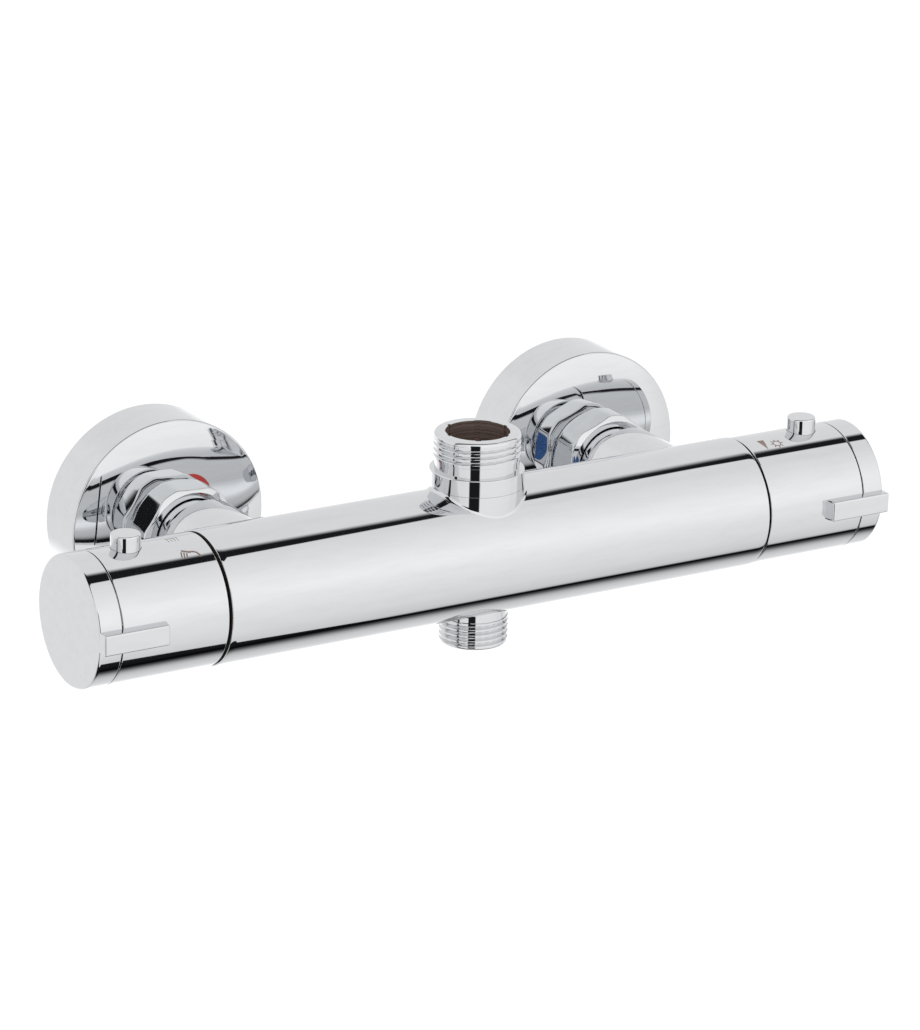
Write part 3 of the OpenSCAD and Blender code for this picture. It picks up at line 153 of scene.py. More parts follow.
def spin(bm, rings, place, angles=ROUND, closed=True):
    """rings: (along, radius) pairs; either may be a function of the angle."""
    rows = [[bm.verts.new(place(along(a) if callable(along) else along,
                                radius(a) if callable(radius) else radius, a))
             for a in angles] for along, radius in rings]
    for i in range(len(rows) if closed else len(rows) - 1):
        one, two = rows[i], rows[(i + 1) % len(rows)]
        for t in range(len(angles)):
            u = (t + 1) % len(angles)
            bm.faces.new((one[t], one[u], two[u], two[t]))


print("a full turn has", len(ROUND), "corners")

# %% [markdown]
# ### Four axes
#
# The bar and its handles turn about X, the inlets about Y, and the outlets and
# buttons about Z, in different places. Each piece could be spun in one place and
# then moved and rotated. Here one small function for each axis puts every point
# where it belongs, so all the meshes share the frame of the solids.

# %% The axes to turn on
button_x = 118.5  # how far out the stop buttons stand, in mm


def at(x, y, z):
    """A point in mm from the middle of the bar."""
    return Vector((x * MM, bar_y + y * MM, bar_z + z * MM))


def round_the_bar(along, radius, angle):
    return at(along, -radius * math.sin(angle), radius * math.cos(angle))


def round_the_outlets(along, radius, angle):
    return at(radius * math.sin(angle), -radius * math.cos(angle), along)


def round_an_inlet(side):
    """Here, along is the distance from the wall."""
    return lambda along, radius, angle: Vector(
        (side * inlet_x + radius * MM * math.cos(angle), -along * MM, radius * MM * math.sin(angle)))


def round_a_button(side):
    return lambda along, radius, angle: at(
        side * button_x + radius * math.sin(angle), -radius * math.cos(angle), along)


print("four kinds of axis: the bar, the outlets, the inlets, the buttons")

# %% [markdown]
# ### Shading
#
# Polished metal shows every wrong normal. Extra loops could hold the corners.
# Here edges sharper than a limit stay crisp, and weighted normals keep the large
# faces flat, so a small rounding needs only a few points.

# %% Finish a mesh as a piece of the valve
finishes = []  # every new piece and the finish it waits for
SHARP = 32  # degrees


def shade(bm, sharp):
    """Smooth shading, with crisp edges only where two faces really meet in a corner."""
    for face in bm.faces:
        face.smooth = True
    for edge in bm.edges:
        edge.smooth = len(edge.link_faces) == 2 and edge.calc_face_angle(0) < math.radians(sharp)


def finish_piece(name, bm, body, nodes=(), finish="chrome", sharp=SHARP):
    """Makes a piece that rides on a body and, with nodes, stands in for those solids."""
    bmesh.ops.remove_doubles(bm, verts=bm.verts, dist=1e-7)
    bmesh.ops.recalc_face_normals(bm, faces=bm.faces)
    shade(bm, sharp)
    mesh = bpy.data.meshes.new(name)
    bm.to_mesh(mesh)
    bm.free()
    piece = bpy.data.objects.new(name, mesh)
    bpy.context.scene.collection.objects.link(piece)
    even = piece.modifiers.new("even_shine", "WEIGHTED_NORMAL")
    even.keep_sharp = True
    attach(piece, body)
    if nodes:
        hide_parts(*nodes)
    finishes.append((piece, finish))
    return piece


print("corners sharper than", SHARP, "degrees stay crisp")

# %% [markdown]
# ## The bar
#
# The bar is one turned brass body, plated. Its two inlet bosses and the boss
# under the top outlet are cast on, so where each meets the bar there is a small
# hollow radius. A boolean union would leave a hard line there. Instead a ball is
# rolled along the joint: its middle stays one radius off both cylinders, and the
# two touching points are joined by an arc.

# %% Roll a ball round the foot of a boss
bar_r, bar_half, spigot_r, spigot_half = 20.4, 94.0, 17.0, 103.0
boss_r, boss_x, inlet_rise = 14.4, 75, 3  # the inlets lie a little above the bar's axis


def rolled_foot(radius, ball, rise, steps=8):
    """Rings for the foot of a boss whose axis passes the bar's axis at a distance rise."""
    def ring(k):
        row = []
        for a in ROUND:
            across = (radius + ball) * math.sin(a) + rise
            middle = Vector(((radius + ball) * math.cos(a), across,
                             math.sqrt((bar_r + ball) ** 2 - across ** 2)))
            on_bar = Vector((middle.x, across * bar_r / (bar_r + ball), middle.z * bar_r / (bar_r + ball)))
            on_boss = Vector((radius * math.cos(a), radius * math.sin(a) + rise, middle.z))
            if k < 0:  # the first ring is sunk into the bar
                row.append(Vector((on_bar.x, on_bar.y * 0.97, on_bar.z * 0.97)))
            else:
                row.append(middle + (on_bar - middle).slerp(on_boss - middle, k / steps) * ball)
        return row
    return [ring(k) for k in range(-1, steps + 1)]


print("foot of an inlet boss:", len(rolled_foot(boss_r, 1.0, inlet_rise)), "rings")


# %% Put a boss on the bar
def boss(bm, x, to_wall, radius, ball, rise, outline):
    """A boss at x, towards the wall or upwards. outline: (height, radius) rings above the foot."""
    rows = rolled_foot(radius, ball, rise)
    rows += [[Vector((r * math.cos(a), r * math.sin(a) + rise, height)) for a in ROUND]
             for height, r in outline]
    made = [[bm.verts.new(at(x + p.x, p.z, p.y) if to_wall else at(x + p.x, p.y, p.z)) for p in row]
            for row in rows]
    for one, two in zip(made, made[1:]):
        for t in range(len(ROUND)):
            u = (t + 1) % len(ROUND)
            bm.faces.new((one[t], one[u], two[u], two[t]))


print("a boss has", len(rolled_foot(boss_r, 1.0, 0)) * len(ROUND), "corners in its foot")

# %% Turn the bar with its three bosses
bm = bmesh.new()
# polishing has taken a little off the last two millimetres at each end
outside = [(-spigot_half, spigot_r, 0.2), (-bar_half, spigot_r), (-bar_half, 20.33, 0.3),
           (-93.3, 20.365), (-92.6, 20.39), (-91.8, bar_r), (91.8, bar_r), (92.6, 20.39), (93.3, 20.365),
           (bar_half, 20.33, 0.3), (bar_half, spigot_r), (spigot_half, spigot_r, 0.2)]
inside = [(spigot_half, 15.3), (96, 15.3), (96, 14), (59, 14), (59, 11.8), (54, 11.8), (54, 7.5),
          (-60, 7.5), (-60, 11), (-96, 11), (-96, 13.3)]
spin(bm, rounded([(-spigot_half, 13.3), *outside, *inside]), round_the_bar)
inlet_outline = rounded([(30, boss_r), (33, boss_r, 0.5), (33, 12, 0.15), (48, 12, 0.3), (48, 8.6),
                         (36, 8.6), (36, 7), (24, 7)], False)
for side in (-1, 1):
    boss(bm, side * boss_x, True, boss_r, 1.0, inlet_rise, inlet_outline)
boss(bm, 0, False, boss_r, 1.1, 0, [(20.98, boss_r), (20.98, 11.6), (16, 11.6)])
bar = finish_piece("bar", bm, "valve", ["valve_body"])
print("bar:", len(bar.data.polygons), "faces")

# %% [markdown]
# ## The outlets and their threads
#
# A pipe thread is one groove that climbs round the outlet. It could be cut by
# sweeping a V along a helix, but cutting polished metal in a mesh leaves torn
# shading. Here the threaded rod is spun like the rest, and its radius depends on
# the angle and the height together, so the groove is part of one clean surface.
# The crests are a little round, as plating leaves them.

# %% Cut a thread into a turned outline
PITCH = 1.814  # the same for both pipe threads, 14 to the inch
THREE_QUARTER_R, HALF_R = 13.22, 10.4775  # over the crests


def threaded(low, high, crest, depth, first, last, start=0.0, mouth=1.3, step=0.07):
    """Rings from low to high. The groove fades out near first and last; start turns it."""
    def cut(height):
        def radius(a):
            turn = (height / PITCH - a / (2 * math.pi) + start) % 1
            inside = max(0, 1 - abs(turn - 0.5) * 2 * PITCH / mouth)
            groove = depth * (0.6 * inside + 0.4 * inside * inside * (3 - 2 * inside))
            fade = min(1, max(0, (height - first) / 0.5), max(0, (last - height) / 0.5))
            return crest - groove * fade
        return radius
    count = round((high - low) / step)
    heights = [low + (high - low) * k / count for k in range(count + 1)]
    return [(height, cut(height)) for height in heights]


print("rings of a thread 10 mm long:", len(threaded(0, 10, HALF_R, 0.8, 0, 10)))

# %% [markdown]
# ### The top outlet
#
# A pipe to an overhead shower is screwed on here. The outlet itself is screwed in
# with a key, so six notches run down its bore. Six boxes could cut them. Here the
# bore's radius changes with the angle, and extra corners stand right at the
# notches' edges, which keeps their sides steep.

# %% Turn the top outlet
bore_r, notch_r = 9.75, 10.2
notch_edges = []
for k in range(6):
    for edge in (-0.0822, -0.0815, 0.0815, 0.0822):
        notch_edges.append((math.pi / 2 + k * math.pi / 3 + edge) % (2 * math.pi))
NOTCHED = sorted(notch_edges + [a for a in ROUND if all(abs(a - e) > 0.003 for e in notch_edges)])


def bore_wall(a):
    """The bore of the top outlet, with its six key notches."""
    from_notch = (a - math.pi / 2 + math.pi / 6) % (math.pi / 3) - math.pi / 6
    return notch_r if abs(from_notch) < 0.0818 else bore_r


bm = bmesh.new()
rings = rounded([(11, 8.5), (11, 11.5, 0.2), (21, 11.5), (21, boss_r, 0.08), (26.2, boss_r, 0.35),
                 (26.2, 12.9), (29.5, 12.9, 0.1), (29.6, THREE_QUARTER_R)], False)
rings += threaded(29.7, 36.2, THREE_QUARTER_R, 0.62, 30.2, 36.2, start=0.237, mouth=1.05)
rings += rounded([(36.25, THREE_QUARTER_R), (37.6, THREE_QUARTER_R, 1.15), (37.6, 11.2)], False, 9)
rings += [(37.6, lambda a: bore_wall(a) + 0.12), (37.48, bore_wall), (31.6, bore_wall), (31.6, bore_r),
          (24, bore_r), (23.5, 8.5)]
spin(bm, rings, round_the_outlets, NOTCHED)
top = finish_piece("top_outlet_turned", bm, "valve", ["top_outlet"])
print("top outlet:", len(top.data.polygons), "faces")

# %% [markdown]
# ### The bottom outlet
#
# The hose of the hand shower hangs on this smaller thread. It is made like the
# top one, but listed from the bar downwards, so its thread is turned round.

# %% Turn the bottom outlet
bm = bmesh.new()
rings = rounded([(-10.1, 6.75), (-10.1, 9, 0.2), (-17, 9), (-17, 10.1), (-20.5, 10.1),
                 (-20.62, HALF_R)], False)
rings += threaded(-28.3, -20.7, HALF_R, 0.8, -28.2, -20.8, start=0.574)[::-1]
rings += rounded([(-28.4, HALF_R), (-29.2, HALF_R, 0.75), (-29.2, 6.75, 0.3), (-26, 6.75)], False)
spin(bm, rings, round_the_outlets)
foot = finish_piece("bottom_outlet_turned", bm, "valve", ["bottom_outlet"])
print("bottom outlet:", len(foot.data.polygons), "faces")

# %% [markdown]
# ## The wall side
#
# On each inlet a union is screwed into the wall, a round plate slides over it,
# and a hexagon nut draws the bar against it. The plate is pressed from sheet, and
# its front is a shallow dome, flat in the middle and falling fast near the rim.
# A flat disc would be simpler, but the things mirrored in the real one look
# pressed together at its edge, and only a curve of this kind does that.

# %% Turn the wall plates
plate_r, plate_hollow_r, plate_middle, plate_dome, plate_bore_r = 32.5, 31.2, 20.3, 2.6, 13.5


def fall(radius):
    """How far the plate's front has fallen at a distance from its middle: little at first, then fast."""
    return plate_dome * (radius / plate_r) ** 4


for side, name in ((-1, "hot"), (1, "cold")):
    bm = bmesh.new()
    front = [(plate_middle - fall(r), r) for r in (31.4 - 0.7 * k for k in range(25))]
    spin(bm, rounded([
        (0, plate_hollow_r, 0.2), (0, plate_r, 0.2), (17.75, plate_r, 0.9), *front,
        (20.2, plate_bore_r, 0.25), (12.3, plate_bore_r), (12.3, 15.2, 0.2), (18.6, 15.2, 0.4),
        (18.8 - fall(plate_hollow_r), plate_hollow_r, 0.5)]), round_an_inlet(side))
    finish_piece(name + "_plate_turned", bm, "valve", [name + "_wall_plate"])
print("plates:", plate_r * 2, "mm wide,", plate_middle, "mm deep in the middle and",
      round(plate_middle - fall(plate_r), 1), "at the rim")

# %% [markdown]
# ### The unions
#
# A union joins the pipe in the wall to the nut. Its threads are seen only from
# behind, so their rings lie further apart than the outlets', which saves faces
# where nobody looks closely.

# %% Cut the union threads
for side, name in ((-1, "hot"), (1, "cold")):
    bm = bmesh.new()
    rings = threaded(-12.2, 1.9, HALF_R, 0.8, -12.6, 1.5, step=0.12)
    rings += rounded([(2, HALF_R), (2, 11), (6, 11), (6, THREE_QUARTER_R, 0.5), (7, THREE_QUARTER_R)], False)
    rings += threaded(7.1, 23, THREE_QUARTER_R, 0.8, 7.2, 22.6, step=0.15)
    rings += rounded([(23.1, THREE_QUARTER_R), (24, THREE_QUARTER_R, 0.5), (24, 6.9, 0.2), (14, 6.9), (14, 6),
                      (-13, 6, 0.2), (-13, HALF_R, 0.75), (-12.3, HALF_R)], False)
    spin(bm, rings, round_an_inlet(side))
    finish_piece(name + "_union_turned", bm, "valve", [name + "_wall_union"])
print("unions: a 1/2 inch thread in the wall, a 3/4 inch thread in the nut")

# %% [markdown]
# ### The nuts
#
# Both ends of a hexagon nut are chamfered on a lathe, which cuts the arcs that
# run across each flat. A hexagon could be cut by two cones. Here every angle
# round the nut gets its own corner, where the chamfer's cone meets the flat, and
# the arcs fall out by themselves, with a soft turn that a cut would lack.

# %% Draw a hexagon nut from the front
def hexagon(flat, corners, facing, blend=0.35):
    """(angle, radius) round a nut whose corners were turned down; facing is the direction of one flat."""
    points = []
    for k in range(240):
        angle = 2 * math.pi * k / 240
        off = (angle - facing + math.pi / 6) % (math.pi / 3) - math.pi / 6
        side = flat / 2 / math.cos(off)
        near = max(blend - abs(side - corners / 2), 0) / blend
        points.append((angle, min(side, corners / 2) - near * near * blend / 4))
    return points


nut_rear, nut_front, nut_flats, nut_corners = 20.6, 33.3, 30, 31.8
print("nuts:", nut_flats, "mm across the flats, turned to", nut_corners, "mm over the corners")


# %% Chamfer a nut
def nut_rings(outline, rear, front):
    """Rings of chamfer, side and chamfer, with a soft turn between them.

    outline: the radius at each angle. rear, front: (place, inner radius, slope, length of the soft turn).
    """
    reach = dict(outline)

    def turn(chamfer, way, t):
        """A place t of the way round the soft turn between the cone at one end and the side."""
        end, inner, slope, soft = chamfer

        def place(a, which):
            r = reach[a]
            corner = Vector((end + way * (0.04 + (r - inner) * slope), r))
            run = min(soft, (r - inner) * 0.95)
            on_cone = corner - Vector((way * slope, 1)).normalized() * run
            on_side = corner + Vector((way * run, 0))
            return (on_cone * (1 - t) ** 2 + corner * 2 * t * (1 - t) + on_side * t * t)[which]
        return lambda a: place(a, 0), lambda a: place(a, 1)

    steps = [k / 6 for k in range(7)]
    low, low_r, high, high_r = *rear[:2], *front[:2]
    return ([(low, low_r - 0.15), (low + 0.04, low_r)] + [turn(rear, 1, t) for t in steps]
            + [turn(front, -1, t) for t in steps[::-1]] + [(high - 0.04, high_r), (high, high_r - 0.15)])


print("a nut has", len(nut_rings(hexagon(nut_flats, nut_corners, 0), (0, 14, 1, 1), (12, 14, 1, 1))),
      "rings on its outside")

# %% Turn the hexagon nuts
for side, name, facing in ((-1, "hot", 27), (1, "cold", 53)):
    outline = hexagon(nut_flats, nut_corners, math.radians(facing))
    bm = bmesh.new()
    rings = nut_rings(outline, (nut_rear, 13.9, 1.0, 1.4), (nut_front, 14.2, 0.6, 0.45))
    rings += [(nut_front, 12.5), (33.1, 12.3), (30.1, 12.3), (30.1, 13.32), (20.9, 13.32),
              (nut_rear, 13.7)]
    spin(bm, rings, round_an_inlet(side), [angle for angle, radius in outline])
    finish_piece(name + "_nut_turned", bm, name + "_nut", [name + "_union_nut"], sharp=50)
    print(name, "nut:", len(outline), "angles, one flat facing", facing, "degrees")

# %% [markdown]
# ## The handles
#
# Each handle is a thin sleeve with an end cap pressed in, so a fine dark seam
# shows between them. The sleeve has a hole for the stop button. The hole is cut
# with a boolean, which is safe here because the sleeve's rings lie close
# together near the hole, and only those small faces are touched.

# %% Drill a sleeve for its button
handle_r, sleeve_bore, hole_r = 20, 18.4, 4.6
sleeve_from, sleeve_to, cap_from, cap_to = 94.9, 129.3, 129.65, 137


def drill(piece, side):
    """Cuts the button's hole through the top of a sleeve."""
    bm = bmesh.new()
    spin(bm, [(14, 0), (14, hole_r), (24, hole_r), (24, 0)], round_a_button(side),
         [2 * math.pi * t / 96 for t in range(96)], closed=False)
    bmesh.ops.remove_doubles(bm, verts=bm.verts, dist=1e-7)
    bmesh.ops.recalc_face_normals(bm, faces=bm.faces)
    mesh = bpy.data.meshes.new("drill")
    bm.to_mesh(mesh)
    bm.free()
    cutter = bpy.data.objects.new("drill", mesh)
    bpy.context.scene.collection.objects.link(cutter)
    cut = piece.modifiers.new("drilled", "BOOLEAN")
    cut.operation, cut.solver, cut.object = "DIFFERENCE", "EXACT", cutter
    piece.modifiers.move(len(piece.modifiers) - 1, 0)
    even = piece.modifiers["even_shine"]
    even.show_viewport = False
    bpy.context.view_layer.update()
    done = bpy.data.meshes.new_from_object(piece.evaluated_get(bpy.context.evaluated_depsgraph_get()))
    even.show_viewport = True
    piece.modifiers.remove(cut)
    bpy.data.objects.remove(cutter)
    piece.data = done
    bm = bmesh.new()
    bm.from_mesh(done)
    shade(bm, SHARP)
    bm.to_mesh(done)
    bm.free()


print("the drill is", 2 * hole_r, "mm across")

# %% Turn the sleeves
ring_gap = 1.1
for side, name in ((-1, "flow"), (1, "temperature")):
    outline = rounded([(side * sleeve_from, sleeve_bore), (side * sleeve_from, handle_r, 0.3),
                       (side * sleeve_to, handle_r, 0.25), (side * sleeve_to, sleeve_bore)])
    split = max(i for i, p in enumerate(outline) if abs(p[0]) < 96) + 1
    outside = [(side * (95.4 + ring_gap * k), handle_r) for k in range(1, 31)]
    inside = [(side * (128 - ring_gap * k), sleeve_bore) for k in range(30)]
    outline = outline[:split] + outside + outline[split:] + inside
    bm = bmesh.new()
    spin(bm, outline, round_the_bar)
    sleeve = finish_piece(name + "_sleeve_turned", bm, name + "_handle", [name + "_sleeve"])
    drill(sleeve, side)
    print(sleeve.name, len(sleeve.data.polygons), "faces")

# %% [markdown]
# ### The end caps
#
# A cap closes each handle. It is pressed in up to a step, which leaves the seam
# in front of it. A dark line could be painted on one long sleeve, but a real gap
# looks right from every side.

# %% Turn the end caps
for side, name in ((-1, "flow"), (1, "temperature")):
    bm = bmesh.new()
    spin(bm, rounded([
        (side * 127.8, 17, 0.1), (side * 127.8, 18.3, 0.2), (side * cap_from, 18.3),
        (side * cap_from, handle_r, 0.25), (side * cap_to, handle_r, 0.8), (side * cap_to, 12),
        (side * cap_to, 0), (side * 135, 0), (side * 135, 17)]), round_the_bar)
    finish_piece(name + "_cap_turned", bm, name + "_handle", [name + "_cap"])
print("caps:", round(cap_to - cap_from, 2), "mm past the seam")

# %% [markdown]
# ## The levers
#
# A lever is a small bar pinned to the handle's front. Its back is hollow, to sit
# on the round handle, which a scaled cube couldn't follow. So it starts with many
# narrow faces across, and a bevel rounds the corners last, all by the same
# amount, as tumbling rounds a real casting.

# %% Shape the levers
def is_corner(edge):
    """True for the edges round a lever's front and for those that run to its back."""
    one, two = edge.verts
    in_front = max(one.co.y, two.co.y) < bar_y - 21 * MM and edge.calc_face_angle(0) > math.radians(60)
    return len(edge.link_faces) == 2 and (in_front or abs(one.co.y - two.co.y) > 2.5 * MM)


def lever(side, name):
    """A bar along the handle's front, whose inner end leans a little."""
    start, half, front, back_r, steps = 115.6, 3.2, -23.3, 19.9, 10
    bm = bmesh.new()
    rows = []
    for x, lean in ((start, 0.4), (cap_to, 0)):
        heights = [-half + 2 * half * k / steps for k in range(steps + 1)]
        fronts = [bm.verts.new(at(side * (x + lean), front, z)) for z in heights]
        backs = [bm.verts.new(at(side * (x - lean), -math.sqrt(back_r ** 2 - z * z), -z)) for z in heights]
        rows.append(fronts + backs)
    n = len(rows[0])
    for k in range(n):
        bm.faces.new((rows[0][k], rows[0][(k + 1) % n], rows[1][(k + 1) % n], rows[1][k]))
    for row in rows:
        bm.faces.new(row)
    bmesh.ops.recalc_face_normals(bm, faces=bm.faces)
    bmesh.ops.bevel(bm, geom=[e for e in bm.edges if is_corner(e)], offset=0.9 * MM, segments=5,
                    profile=0.5, affect="EDGES", clamp_overlap=True)
    return finish_piece(name + "_lever_cast", bm, name + "_handle", [name + "_lever"], sharp=40)


for side, name in ((-1, "flow"), (1, "temperature")):
    print(lever(side, name).name, "made")

# %% [markdown]
# ### The stop buttons
#
# A handle turns past its stop only while this button is pressed. It is a turned
# pin with a wider skirt below, which keeps it in its hole. A disc on top would
# look the same at rest, but the button sinks when pressed, so the pin is whole.

# %% Turn the stop buttons
button_top, button_r = 24.4, 4.5
for side, name in ((-1, "flow"), (1, "temperature")):
    bm = bmesh.new()
    outline = rounded([(button_top, 0), (button_top, 2), (button_top, button_r, 0.6), (17.2, button_r),
                       (17.2, 5.4, 0.15), (16.4, 5.4, 0.15), (16.4, 1.9), (11, 1.9, 0.3), (11, 0)], False)
    spin(bm, outline, round_a_button(side), closed=False)
    finish_piece(name + "_button_turned", bm, name + "_stop_button", [name + "_button"])
print("buttons:", 2 * button_r, "mm wide,", round(button_top - handle_r, 1), "mm proud")

# %% [markdown]
# ## The etched signs
#
# The handles carry small signs, burnt into the chrome by a laser: a hand shower
# and a wide shower at the flow side, a wedge and a sun at the temperature side.
# They could be painted by a mask in the material, but then they would be as
# coarse as the mask. Here each sign is a set of flat ribbons that follow the
# curve of the sleeve, two hundredths of a millimetre above it.

# %% Lay a stroke on a handle
def stroke(bm, path, width, lift=0.02):
    """path: (x along the bar, degrees over the front) points. A ribbon of that width in mm."""
    skin = handle_r + lift
    points = [Vector((x, math.radians(a) * handle_r)) for x, a in path]
    ribbon = []
    for i, p in enumerate(points):
        before, after = points[max(0, i - 1)], points[min(len(points) - 1, i + 1)]
        across = (after - before).normalized().orthogonal() * width / 2
        ribbon.append((p - across, p + across))
    made = [[bm.verts.new(at(q.x, -skin * math.cos(q.y / handle_r), skin * math.sin(q.y / handle_r)))
             for q in pair] for pair in ribbon]
    for one, two in zip(made, made[1:]):
        bm.faces.new((one[0], one[1], two[1], two[0]))


def beside(x, angle, radius, way):
    """The place at a distance of radius from (x, angle), on the handle's unrolled skin."""
    return x + radius * math.cos(way), angle + math.degrees(radius * math.sin(way) / handle_r)


def ring_path(x, angle, radius, count=24):
    return [beside(x, angle, radius, 2 * math.pi * k / count) for k in range(count + 1)]


def line(x0, a0, x1, a1, count=6):
    return [(x0 + (x1 - x0) * k / count, a0 + (a1 - a0) * k / count) for k in range(count + 1)]


print("a ring is", len(ring_path(0, 0, 1)), "points")

# %% Draw the signs
bm = bmesh.new()
# a hand shower: its head, three jets and a bent grip
head_x, head_a = -102.7, 69
stroke(bm, line(head_x - 1.5, head_a, head_x + 1.1, head_a - 3.4), 0.7)
for k in range(3):
    x = head_x - 1.5 + 0.75 * k
    stroke(bm, line(x - 0.25, head_a - 1.6 - k, x - 0.9, head_a - 7.6 - k), 0.45)
stroke(bm, [(head_x + 0.9, head_a - 2.6), (head_x + 1.9, head_a - 3), (head_x + 2.8, head_a - 4.6),
            (head_x + 3.3, head_a - 7.4), (head_x + 3.5, head_a - 10)], 0.6)
# a wide shower: a flat head with four jets
stroke(bm, line(-105.6, 91, -101.6, 91), 0.3)
for k in range(4):
    stroke(bm, line(-105.2 + 1.05 * k, 89, -105.2 + 1.05 * k, 84.5), 0.16)
flow_signs = finish_piece("flow_signs", bm, "flow_handle", finish="etched_sign")
bm = bmesh.new()
# a wedge that grows with the heat
for k in range(7):
    a = 67.5 + 14 * k / 7
    stroke(bm, line(101.0 - 0.12 - 0.17 * k, a + 1, 101.0 + 0.12 + 0.17 * k, a + 1), 0.72)
# a sun
sun_x, sun_a = 105.5, 73
stroke(bm, ring_path(sun_x, sun_a, 1.25), 0.34)
for k in range(8):
    way = 2 * math.pi * k / 8
    stroke(bm, line(*beside(sun_x, sun_a, 1.5, way), *beside(sun_x, sun_a, 2.15, way), 3), 0.34)
temperature_signs = finish_piece("temperature_signs", bm, "temperature_handle", finish="etched_sign")
print("signs:", len(flow_signs.data.polygons) + len(temperature_signs.data.polygons), "faces")

# %% [markdown]
# ## Finishes
#
# Nothing here is one flat colour. Each effect could be drawn anew in every
# material, but several finishes use it, so each is a node group with its own
# inputs, built once: the polish, the rings of the lathe tool, and the grain.

# %% Start a node group
def effect(name, inputs, outputs):
    tree = bpy.data.node_groups.new(name, "ShaderNodeTree")
    for label, kind, value in inputs:
        tree.interface.new_socket(label, in_out="INPUT", socket_type=kind).default_value = value
    for label in outputs:
        tree.interface.new_socket(label, in_out="OUTPUT", socket_type="NodeSocketFloat")
    return tree, tree.nodes.new("NodeGroupInput"), tree.nodes.new("NodeGroupOutput")


def node(tree, kind, links=(), **settings):
    """A node, its settings, and its inputs: numbers are set, sockets are joined."""
    made = tree.nodes.new("ShaderNode" + kind)
    for key, value in settings.items():
        setattr(made, key, value)
    for key, value in dict(links).items():
        if isinstance(value, bpy.types.NodeSocket):
            tree.links.new(value, made.inputs[key])
        else:
            made.inputs[key].default_value = value
    return made


def sums(tree, operation, *values):
    return node(tree, "Math", {i: v for i, v in enumerate(values)}, operation=operation).outputs[0]


print("helpers for nodes are ready")

# %% [markdown]
# ### Polish
#
# Chrome is a mirror, but a real one: the polishing wheel leaves long faint
# ripples, and a cloth leaves wipe marks that only change the gloss. A photograph
# of smears could be wrapped round it. Noise in two sizes needs no unwrapping.

# %% The polish of a plated surface
RIPPLES, WIPES = 90.0, 260.0  # in one metre
polish, start, end = effect("polish", [
    ("Ripple Size", "NodeSocketFloat", RIPPLES), ("Wipe Size", "NodeSocketFloat", WIPES)], ["Height", "Wipe"])
place = node(polish, "TexCoord").outputs["Object"]
ripple = node(polish, "TexNoise", {"Vector": place, "Scale": start.outputs["Ripple Size"], "Detail": 1.5})
turned = node(polish, "Mapping", {"Vector": place, "Rotation": (0.3, 0.5, 0.2), "Scale": (0.25, 1.0, 1.6)})
wipes = node(polish, "TexNoise", {"Vector": turned.outputs[0], "Scale": start.outputs["Wipe Size"],
                                  "Detail": 5.0, "Roughness": 0.65})
soft = node(polish, "MapRange", {"Value": wipes.outputs[0], "From Min": 0.38, "From Max": 0.72},
            interpolation_type="SMOOTHSTEP")
polish.links.new(ripple.outputs[0], end.inputs["Height"])
polish.links.new(soft.outputs[0], end.inputs["Wipe"])
print("polish: ripples about", round(1000 / RIPPLES), "mm long, wipes about", round(1000 / WIPES), "mm")

# %% [markdown]
# ### Lathe rings
#
# Unplated brass and copper keep the fine rings of the tool. A sine along the
# axis makes them, and a slow noise makes some bands lighter than others.

# %% The rings of the lathe tool
FEED = 0.00018  # m; one ring for each two pi of it
rings_group, start, end = effect("lathe_rings", [
    ("Along", "NodeSocketFloat", 0.0), ("Feed", "NodeSocketFloat", FEED)], ["Height", "Tone"])
phase = sums(rings_group, "DIVIDE", start.outputs["Along"], start.outputs["Feed"])
wobble = node(rings_group, "TexNoise", {"Vector": node(rings_group, "TexCoord").outputs["Object"],
                                        "Scale": 400.0, "Detail": 2.0}).outputs[0]
wave = sums(rings_group, "SINE", sums(rings_group, "ADD", phase, wobble))
band = node(rings_group, "TexNoise", {"W": phase, "Scale": 0.35, "Detail": 3.0},
            noise_dimensions="1D").outputs[0]
rings_group.links.new(sums(rings_group, "ADD", wave, band), end.inputs["Height"])
rings_group.links.new(band, end.inputs["Tone"])
print("lathe rings: one every", round(2 * math.pi * FEED / MM, 2), "mm")

# %% [markdown]
# ### Grain
#
# Plastic, rubber and enamel take a soft grain from their mould or their drying.
# Fine noise gives the height and a coarse cloud the tone.

# %% The grain of a moulded surface
GRAINS = 1800.0  # in one metre
grain, start, end = effect("moulded_grain", [("Size", "NodeSocketFloat", GRAINS)], ["Height", "Tone"])
place = node(grain, "TexCoord").outputs["Object"]
fine = node(grain, "TexNoise", {"Vector": place, "Scale": start.outputs["Size"], "Detail": 2.0}).outputs[0]
cloud = node(grain, "TexNoise", {"Vector": place, "Scale": 140.0, "Detail": 3.0}).outputs[0]
grain.links.new(fine, end.inputs["Height"])
grain.links.new(cloud, end.inputs["Tone"])
print("grain: about", round(1000 / GRAINS, 1), "mm")

# %% [markdown]
# ### From effect to finish
#
# Fifteen node graphs made by hand would drift apart. One function builds them
# all: the effect's tone blends two colours and two roughnesses, and its height
# bends the normal.

